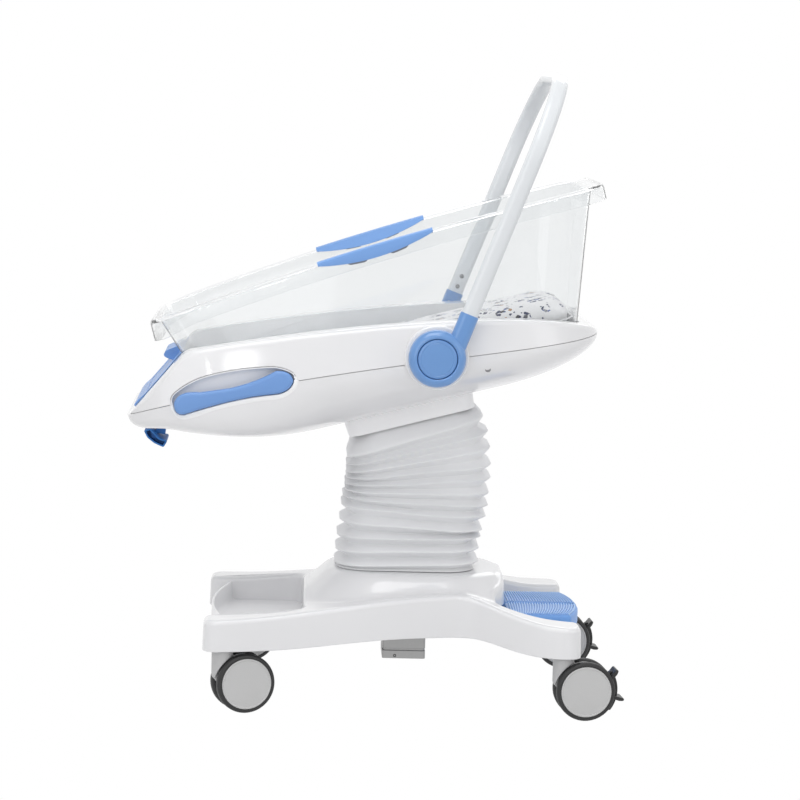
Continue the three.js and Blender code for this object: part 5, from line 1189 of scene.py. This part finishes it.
# Shell screws: one sunk screw on each side by the parting line, behind the arch.
screw_grey = metal("screw_grey", (0.30, 0.30, 0.31), 0.4, (1, 1, 1), 0.1)
sunk_screws = bmesh.new()
for side in (-1, 1):
    at = hull_side(142.5, 42)
    turned(sunk_screws, [(r, side * (at + d)) for r, d in (
        (0, -1.0), (1.2, -1.0), (1.5, -0.3), (3.3, -0.3), (3.6, 0.5), (4.3, 0.7), (4.8, 0.3), (4.8, -3), (0, -3))],
           (142.5, 42), 32)
closed_up(sunk_screws)
piece("shell_screws", sunk_screws, cradle_place, screw_grey, "cradle", ())

# Basin: one clear moulding with flared walls, a flange and a turned-down lip, lying loose in the well.
BASIN_Z = 47.3
LIP = 27


def rim_z(x):
    """Height of the rim: a long even curve from the foot end to the head end."""
    x = min(408.0, max(-392.0, x))
    a, b, c = -392 + 0 - 0 + 408, 2 * (0 + 392), -392 - x
    t = -c / b if abs(a) < 1e-9 else (-b + math.sqrt(b * b - 4 * a * c)) / (2 * a)
    s = 1 - t
    return BASIN_Z + s * s * 200 + 2 * s * t * 251 + t * t * 247


def wall_ring(z, grow):
    rise_z = z - BASIN_Z
    return round_box(-311 - rise_z * 0.323 - grow, 307 + rise_z * 0.323 + grow, 150 + rise_z * 0.19 + grow,
                     62 + grow, 10, 26)


def flange_ring(grow, drop):
    """Ring of the wall where it meets the rim's curve."""
    ring = []
    for i, foot in enumerate(wall_ring(BASIN_Z, 0)):
        z = rim_z(foot.x)
        for _ in range(4):
            z = rim_z(wall_ring(z - drop, grow)[i].x)
        at = wall_ring(z - drop, grow)[i]
        ring.append((at.x, at.y, z - drop))
    return ring


rim_plan = round_box(-392, 408, 215.5, 88, 10, 26)


def lip_ring(inset, drop):
    ring = []
    for p, q in zip(round_box(-392 + inset, 408 - inset, 215.5 - inset, 88 - inset, 10, 26), rim_plan):
        more = 9 * eased((-311 - q.x) / 70) * min(1, drop / LIP)
        ring.append((p.x, p.y, rim_z(q.x) - drop - more))
    return ring


def level(ring, z):
    return [(p.x, p.y, z) for p in ring]


basin = bmesh.new()
rings = [level(wall_ring(47.3, -14), 47.3), level(wall_ring(48.6, -5), 48.4), level(wall_ring(51, -1.4), 51),
         level(wall_ring(57, 0), 57), level(wall_ring(90, 0), 90), level(wall_ring(120, 0), 120)]
wall_top = flange_ring(0, 8)
rings = rings[:4]
for share in (0.2, 0.4, 0.6, 0.8):
    ring = []
    for p, q in zip(rings[3], wall_top):
        ring.append(tuple(a + (b - a) * share for a, b in zip(p, q)))
    rings.append(ring)
rings += [wall_top, flange_ring(1, 5.2), flange_ring(4, 4), lip_ring(9, 4), lip_ring(5.6, 4.8), lip_ring(4, 8),
          lip_ring(4, LIP - 0.8), lip_ring(3.2, LIP), lip_ring(0.8, LIP), lip_ring(0, LIP - 0.8), lip_ring(0, 6),
          lip_ring(0.5, 3.6), lip_ring(1.8, 1.5), lip_ring(3.8, 0.3), lip_ring(6, 0), flange_ring(1.5, 0),
          flange_ring(-1, 0.7), flange_ring(-3, 2.8), flange_ring(-4, 6)]
in_top = rings[-1]
in_foot = level(wall_ring(60, -4), 60)
for share in (0.2, 0.4, 0.6, 0.8):
    rings.append([tuple(a + (b - a) * share for a, b in zip(p, q)) for p, q in zip(in_top, in_foot)])
rings += [in_foot, level(wall_ring(54, -5.6), 54), level(wall_ring(52, -9), 52), level(wall_ring(51.3, -17), 51.3)]
loft(basin, rings, True, True)
closed_up(basin)
clear_plastic = bpy.data.materials.new("clear_plastic")
clear_plastic.use_nodes = True
nodes = clear_plastic.node_tree.nodes
links = clear_plastic.node_tree.links
shell = nodes["Principled BSDF"]
shell.inputs["Transmission Weight"].default_value = 0.97
shell.inputs["IOR"].default_value = 1.04
shell.inputs["Base Color"].default_value = (0.925, 0.934, 0.938, 1)
shell.inputs["Coat Weight"].default_value = 0.7
shell.inputs["Coat IOR"].default_value = 1.45
shell.inputs["Coat Roughness"].default_value = 0.03
where = nodes.new("ShaderNodeTexCoord")
haze = nodes.new("ShaderNodeTexNoise")
haze.inputs["Scale"].default_value = 16
haze.inputs["Detail"].default_value = 5
links.new(where.outputs["Object"], haze.inputs["Vector"])
film = nodes.new("ShaderNodeMapRange")
film.inputs["From Min"].default_value = 0.35
film.inputs["From Max"].default_value = 0.75
film.inputs["To Min"].default_value = 0.01
film.inputs["To Max"].default_value = 0.05
links.new(haze.outputs["Fac"], film.inputs["Value"])
links.new(film.outputs["Result"], shell.inputs["Roughness"])
piece("clear_basin", basin, cradle_place, clear_plastic, "basin", ["basin"])

# Rim grips: a soft blue saddle pressed over the rim on each side, deepest in its middle, held by two
# small clips that hook under its lower edge. Their dark grey is painted shade for the shadow under that edge.
rim_blue = moulding("rim_blue", (0.19, 0.375, 0.76), 0.45, wander=0.05, grain=900, relief=0.08)
# The clips are modelled tabs. Their dark grey is painted shade where the saddle's lower edge throws its shadow.
clip_painted_shade = moulding("clip_painted_shade", (0.17, 0.19, 0.24), 0.5, grain=500)
RIM_HALF = 215.5


def saddle_depth(share):
    return 3 + 15 * max(0.0, math.sin(math.pi * share)) ** 0.8


for side, label in ((-1, "right"), (1, "left")):
    saddle = bmesh.new()
    rings = []
    for x in stations(-93, 107, 44):
        z = rim_z(x)
        d = saddle_depth((x + 93) / 200)
        wall = 150 + (z - BASIN_Z) * 0.19
        inner = [(wall - 4.5 - 0.19 * d, z - d + 0.5), (wall - 5 - 0.19 * d, z - d), (wall - 5.8 - 0.19 * d, z - d + 0.4),
                 (wall - 6, z - 2), (wall - 5, z + 1.2), (wall - 2.6, z + 2.5), (wall + 1, z + 3)]
        outer = [(208, z + 3), (215, z + 2.9), (217, z + 2.5), (218.1, z + 1.5), (218.4, z), (218.4, z - d + 0.9),
                 (218.1, z - d + 0.2), (217.4, z - d), (216.3, z - d), (215.85, z - d + 0.5), (215.8, z - 0.4), (215.2, z + 0.3)]
        under = [(wall + 1.5, z + 0.35), (wall - 1.6, z - 0.2), (wall - 3.7, z - 2), (wall - 4.6, z - min(6, 0.7 * d))]
        section = inner + outer + under
        rings.append([(x, side * y, h) for y, h in section])
    loft(saddle, rings, True, True)
    closed_up(saddle)
    piece(f"rim_saddle_{label}", saddle, cradle_place, rim_blue, "basin", [f"rim_grip_{label}"])
    clips = bmesh.new()
    for s0, s1 in ((0.25, 0.41), (0.62, 0.77)):
        rings = []
        for k in range(9):
            s = s0 + (s1 - s0) * k / 8
            x = -93 + 200 * s
            low = rim_z(x) - saddle_depth(s)
            drop = 2.4 * min(1, 6 * min(k, 8 - k) / 8 + 0.3)
            rings.append([(x, side * y, h) for y, h in ((215.9, low + 1), (215.9, low - drop), (216.6, low - drop - 0.4),
                                                        (217.5, low - drop), (217.9, low - 0.4), (217.9, low + 1))])
        loft(clips, rings, True, True)
    closed_up(clips)
    piece(f"rim_clips_{label}", clips, cradle_place, clip_painted_shade, "basin", ())

# Mattress: a foam pad in a printed cotton cover with a piped seam, laid loose on the basin's floor. The foam
# blows the cover out, so the top is crowned, the head end rolls over and the long sides draw in.
mattress_lift = 51.6
pad_levels = ((0, 24), (2, 14), (10, 7), (22, 4), (32.4, 5.5), (44, 4), (55, 10), (63, 20), (68, 35), (70.8, 64), (72, 105))


def pad_ring(up, inset, less):
    """Ring of the pad at a height, following the flare of the basin's walls."""
    rise = up + 4.3
    r = max(12, 52 - inset * 0.6)
    ring = []
    for p in round_box(-311 - rise * 0.323 + 8 + inset + less, 307 + rise * 0.323 - 8 - inset - less,
                       150 + rise * 0.19 - 8 - inset - less, r, 10, 30):
        waist = 2.2 * math.cos(math.pi * min(1, abs(p.x + 2) / 300) / 2) * min(1, abs(p.y) / 100)
        ring.append((p.x, p.y - math.copysign(waist, p.y) * (abs(p.y) > 1), mattress_lift + 0.4 + up))
    return ring


pad = bmesh.new()
loft(pad, [pad_ring(up * 0.965, inset, 2.5) for up, inset in pad_levels], True, True)
closed_up(pad)
bmesh.ops.transform(pad, matrix=MM @ cradle_place, verts=pad.verts)
pad_mesh = bpy.data.meshes.new("mattress_pad")
pad.to_mesh(pad_mesh)
pad.free()
mattress = bpy.data.objects.new("mattress_pad", pad_mesh)
scene.collection.objects.link(mattress)
foam_grid = mattress.modifiers.new("foam_grid", "REMESH")
foam_grid.mode = "VOXEL"
foam_grid.voxel_size = 0.006
mattress.data = bpy.data.meshes.new_from_object(mattress.evaluated_get(bpy.context.evaluated_depsgraph_get()))
mattress.modifiers.clear()
bpy.data.meshes.remove(pad_mesh)
cover = mattress.modifiers.new("cover", "CLOTH")
cover.settings.quality = 5
cover.settings.mass = 0.3
cover.settings.tension_stiffness = 15
cover.settings.compression_stiffness = 15
cover.settings.bending_stiffness = 0.5
cover.settings.use_pressure = True
cover.settings.uniform_pressure_force = 4
cover.settings.effector_weights.gravity = 0
cover.point_cache.frame_start = 1
cover.point_cache.frame_end = 20
for moment in range(1, 21):
    scene.frame_set(moment)
blown = bpy.data.meshes.new_from_object(mattress.evaluated_get(bpy.context.evaluated_depsgraph_get()))
mattress.modifiers.clear()
scene.frame_set(1)
for held, moved in zip(mattress.data.vertices, blown.vertices):
    step = moved.co - held.co
    held.co += step * min(1, 0.005 / max(1e-9, step.length))
bpy.data.meshes.remove(blown)
to_cradle = (MM @ cradle_place).inverted()
from_cradle = MM @ cradle_place
for vert in mattress.data.vertices:
    at = to_cradle @ vert.co
    at.z = max(at.z, mattress_lift + 0.2)
    vert.co = from_cradle @ at
mattress.data.name = "mattress_pad"
mattress.data.polygons.foreach_set("use_smooth", [True] * len(mattress.data.polygons))
finer = mattress.modifiers.new("finer", "SUBSURF")
finer.levels = 1
finer.render_levels = 1


def printed_cotton():
    """White cotton with scattered sprigs in navy, blue, grey and tan, small rings and specks."""
    cloth = bpy.data.materials.new("printed_cotton")
    cloth.use_nodes = True
    nodes = cloth.node_tree.nodes
    links = cloth.node_tree.links
    shell = nodes["Principled BSDF"]
    shell.inputs["Roughness"].default_value = 0.9
    shell.inputs["Sheen Weight"].default_value = 0.25
    shell.inputs["Sheen Roughness"].default_value = 0.5
    where = nodes.new("ShaderNodeTexCoord")
    warp = nodes.new("ShaderNodeTexNoise")
    warp.inputs["Scale"].default_value = 130
    warp.inputs["Detail"].default_value = 2
    links.new(where.outputs["Object"], warp.inputs["Vector"])
    shake = nodes.new("ShaderNodeVectorMath")
    shake.operation = "MULTIPLY_ADD"
    shake.inputs[1].default_value = (0.006, 0.006, 0.006)
    links.new(warp.outputs["Color"], shake.inputs[0])
    links.new(where.outputs["Object"], shake.inputs[2])

    def cells(scale, loose):
        made = nodes.new("ShaderNodeTexVoronoi")
        made.inputs["Scale"].default_value = scale
        made.inputs["Randomness"].default_value = loose
        links.new(shake.outputs["Vector"], made.inputs["Vector"])
        return made

    def sum_of(kind, first, second):
        step = nodes.new("ShaderNodeMath")
        step.operation = kind
        for socket, given in zip(step.inputs, (first, second)):
            if isinstance(given, float):
                socket.default_value = given
            else:
                links.new(given, socket)
        return step.outputs[0]

    def chance(cell, share):
        apart = nodes.new("ShaderNodeSeparateColor")
        links.new(cell.outputs["Color"], apart.inputs["Color"])
        return sum_of("LESS_THAN", apart.outputs["Red"], share), apart.outputs["Green"]

    sprig = cells(25.0, 0.85)
    petal = cells(118.0, 1.0)
    near_sprig = sum_of("LESS_THAN", sprig.outputs["Distance"], 0.4)
    on_petal = sum_of("LESS_THAN", petal.outputs["Distance"], 0.5)
    sprig_shown, _ = chance(sprig, 0.9)
    petal_shown, petal_kind = chance(petal, 0.86)
    sprig_mask = sum_of("MULTIPLY", sum_of("MULTIPLY", near_sprig, on_petal),
                        sum_of("MULTIPLY", sprig_shown, petal_shown))
    dye = nodes.new("ShaderNodeValToRGB")
    dye.color_ramp.interpolation = "CONSTANT"
    bands = dye.color_ramp.elements
    bands[0].color = (0.012, 0.022, 0.085, 1)
    bands[1].position = 0.42
    bands[1].color = (0.05, 0.11, 0.33, 1)
    for at, tone in ((0.6, (0.13, 0.14, 0.16, 1)), (0.74, (0.30, 0.31, 0.34, 1)), (0.84, (0.012, 0.012, 0.014, 1)),
                     (0.93, (0.42, 0.22, 0.09, 1))):
        bands.new(at).color = tone
    links.new(petal_kind, dye.inputs["Fac"])
    loop = cells(46.0, 1.0)
    loop_shown, _ = chance(loop, 0.5)
    off_line = sum_of("ABSOLUTE", sum_of("SUBTRACT", loop.outputs["Distance"], 0.15), 0.0)
    loop_mask = sum_of("MULTIPLY", sum_of("LESS_THAN", off_line, 0.045), loop_shown)
    speck = cells(88.0, 1.0)
    speck_shown, _ = chance(speck, 0.4)
    speck_mask = sum_of("MULTIPLY", sum_of("LESS_THAN", speck.outputs["Distance"], 0.17), speck_shown)
    small_mask = sum_of("MAXIMUM", loop_mask, speck_mask)
    small = nodes.new("ShaderNodeMix")
    small.data_type = "RGBA"
    small.inputs["A"].default_value = (0.84, 0.84, 0.85, 1)
    small.inputs["B"].default_value = (0.035, 0.05, 0.13, 1)
    links.new(small_mask, small.inputs["Factor"])
    print_all = nodes.new("ShaderNodeMix")
    print_all.data_type = "RGBA"
    links.new(sprig_mask, print_all.inputs["Factor"])
    links.new(small.outputs["Result"], print_all.inputs["A"])
    links.new(dye.outputs["Color"], print_all.inputs["B"])
    links.new(print_all.outputs["Result"], shell.inputs["Base Color"])
    weave = nodes.new("ShaderNodeTexNoise")
    weave.inputs["Scale"].default_value = 900
    links.new(where.outputs["Object"], weave.inputs["Vector"])
    crease = nodes.new("ShaderNodeTexNoise")
    crease.inputs["Scale"].default_value = 26
    crease.inputs["Detail"].default_value = 3
    links.new(where.outputs["Object"], crease.inputs["Vector"])
    relief = sum_of("ADD", sum_of("MULTIPLY", weave.outputs["Fac"], 0.2), sum_of("MULTIPLY", crease.outputs["Fac"], 2.2))
    bump = nodes.new("ShaderNodeBump")
    bump.inputs["Strength"].default_value = 0.5
    bump.inputs["Distance"].default_value = 0.002
    links.new(relief, bump.inputs["Height"])
    links.new(bump.outputs["Normal"], shell.inputs["Normal"])
    return cloth


cotton = printed_cotton()
mattress.data.materials.append(cotton)
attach(mattress, "mattress")
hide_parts("mattress")
piping = bmesh.new()
seam_path = [Vector(p) for p in pad_ring(31.6, 3.2, 0)]
rings = []
for i, p in enumerate(seam_path):
    run = (seam_path[(i + 1) % len(seam_path)] - seam_path[i - 1]).normalized()
    out = Vector((run.y, -run.x, 0))
    rings.append([tuple(p + out * (1.5 * math.cos(a)) + Vector((0, 0, 1.5 * math.sin(a))))
                  for a in (math.tau * k / 8 for k in range(8))])
loft(piping, rings + rings[:1])
closed_up(piping)
piece("mattress_piping", piping, cradle_place, cotton, "mattress", ())

# Arch handle: a white oval tube bent over the basin, pushed into the sleeves of the two hubs.
ARCH_LEAN = 35.8
arch_place = cradle_place @ Matrix.Translation((HUB_X, 0, HUB_Z)) @ Matrix.Rotation(math.radians(ARCH_LEAN), 4, "Y")
LEG_OFFSET, LEG_Y, ARCH_H, ARCH_R = 22, 258, 503, 150


def oval(width, thick, arc=10):
    """Flat-sided oval, wide along X."""
    r = thick / 2
    half = width / 2 - r
    points = []
    for cx, start in ((half, -1), (-half, 1)):
        for k in range(arc + 1):
            a = math.pi / 2 * start + math.pi * k / arc
            points.append((cx + r * math.cos(a), r * math.sin(a)))
    return points


path = [(-LEG_Y, 42.3), (-LEG_Y, 150), (-LEG_Y, 300)]
path += [(-LEG_Y + ARCH_R * (1 - math.cos(a)), ARCH_H - ARCH_R + ARCH_R * math.sin(a))
         for a in (math.pi / 2 * k / 24 for k in range(25))]
path += [(-54, ARCH_H), (0, ARCH_H)]
path += [(-y, z) for y, z in reversed(path[:-1])]
rings = []
for i, (y, z) in enumerate(path):
    y0, z0 = path[max(0, i - 1)]
    y1, z1 = path[min(len(path) - 1, i + 1)]
    run = Vector((y1 - y0, z1 - z0)).normalized()
    rings.append([(LEG_OFFSET + u, y - run.y * v, z + run.x * v) for u, v in oval(28, 18)])
arch = bmesh.new()
loft(arch, rings, True, True)
closed_up(arch)
arch_paint = moulding("white_paint", (0.74, 0.765, 0.79), 0.24, wander=0.02, grain=700, relief=0.006, coat=0.4)
piece("arch_handle", arch, arch_place, arch_paint, "arch", ["arch_tube"])
leg_screws = bmesh.new()
for side in (-1, 1):
    for z in (99, 119):
        turned(leg_screws, [(r, side * y) for r, y in (
            (0, 248.9), (1.3, 248.9), (1.6, 248.2), (3.2, 248.3), (4, 248.7), (4.2, 249.4), (0, 249.4))],
               (LEG_OFFSET, z), 28)
closed_up(leg_screws)
piece("leg_screws", leg_screws, arch_place, screw_grey, "arch", ())

# Hubs: a blue turned cover over each spindle with the sleeve that takes the arch leg. The flat button in the
# middle is pressed to free the swing.
hub_blue = moulding("hub_blue", (0.125, 0.295, 0.63), 0.3, wander=0.04, grain=900, relief=0.03, coat=0.7)
hub_profile = [(11.3, 249), (45.2, 249), (46.8, 249.5), (47.8, 251), (48, 253), (48, 261), (47.5, 264.5), (46.2, 268),
               (44, 271), (41.2, 273.4), (38.6, 274.6), (36.6, 275), (35.2, 274.8), (34.2, 274), (33.6, 272.6), (33.5, 271),
               (33.5, 257), (11.3, 257), (11.3, 249)]
button_profile = [(0, 265.6), (32.3, 265.6), (32.9, 266.2), (32.9, 271.4), (32.5, 272.7), (31.6, 273.6), (30.2, 274.1),
                  (27.8, 274.2),
                  (27.3, 273.8), (26.7, 273.8), (26.2, 274.2), (14, 274.9), (0, 275.1)]
for side, label in ((-1, "right"), (1, "left")):
    hub = bmesh.new()
    turned(hub, [(r, side * y) for r, y in hub_profile], (0, 0), 96)
    rings = []
    for z, slim in ((14, 0), (60, 0), (86.4, 0), (87.6, 0.4), (88, 1.4)):
        rings.append([(LEG_OFFSET + u, side * (LEG_Y + v), z) for u, v in oval(31.8 - 2 * slim, 21.8 - 2 * slim)])
    sleeve_bm = bmesh.new()
    loft(sleeve_bm, rings, True, True)
    closed_up(sleeve_bm)
    foot_room = bmesh.new()
    loft(foot_room, [[(p.x, side * 240 + p.y, z) for p in round_box(-60, 60, 9.2, 2)] for z in (0, 70)], True, True)
    turned(foot_room, [(0, side * 256.8), (33.4, side * 256.8), (33.4, side * 290), (0, side * 290)], (0, 0), 96)
    closed_up(foot_room)
    sleeve_cut = combined(sleeve_bm, foot_room, "DIFFERENCE")
    closed_up(hub)
    whole_hub = combined(hub, sleeve_cut, "UNION")
    for spent in (hub, sleeve_bm, foot_room, sleeve_cut):
        spent.free()
    flat_faced(piece(f"hub_cover_{label}", whole_hub, arch_place, hub_blue, "arch", [f"hub_{label}"], 32))
    button = bmesh.new()
    turned(button, [(r, side * y) for r, y in button_profile], (0, 0), 96)
    closed_up(button)
    piece(f"hub_press_{label}", button, arch_place, hub_blue, f"hub_button_{label}", [f"hub_button_{label}"],
          32)
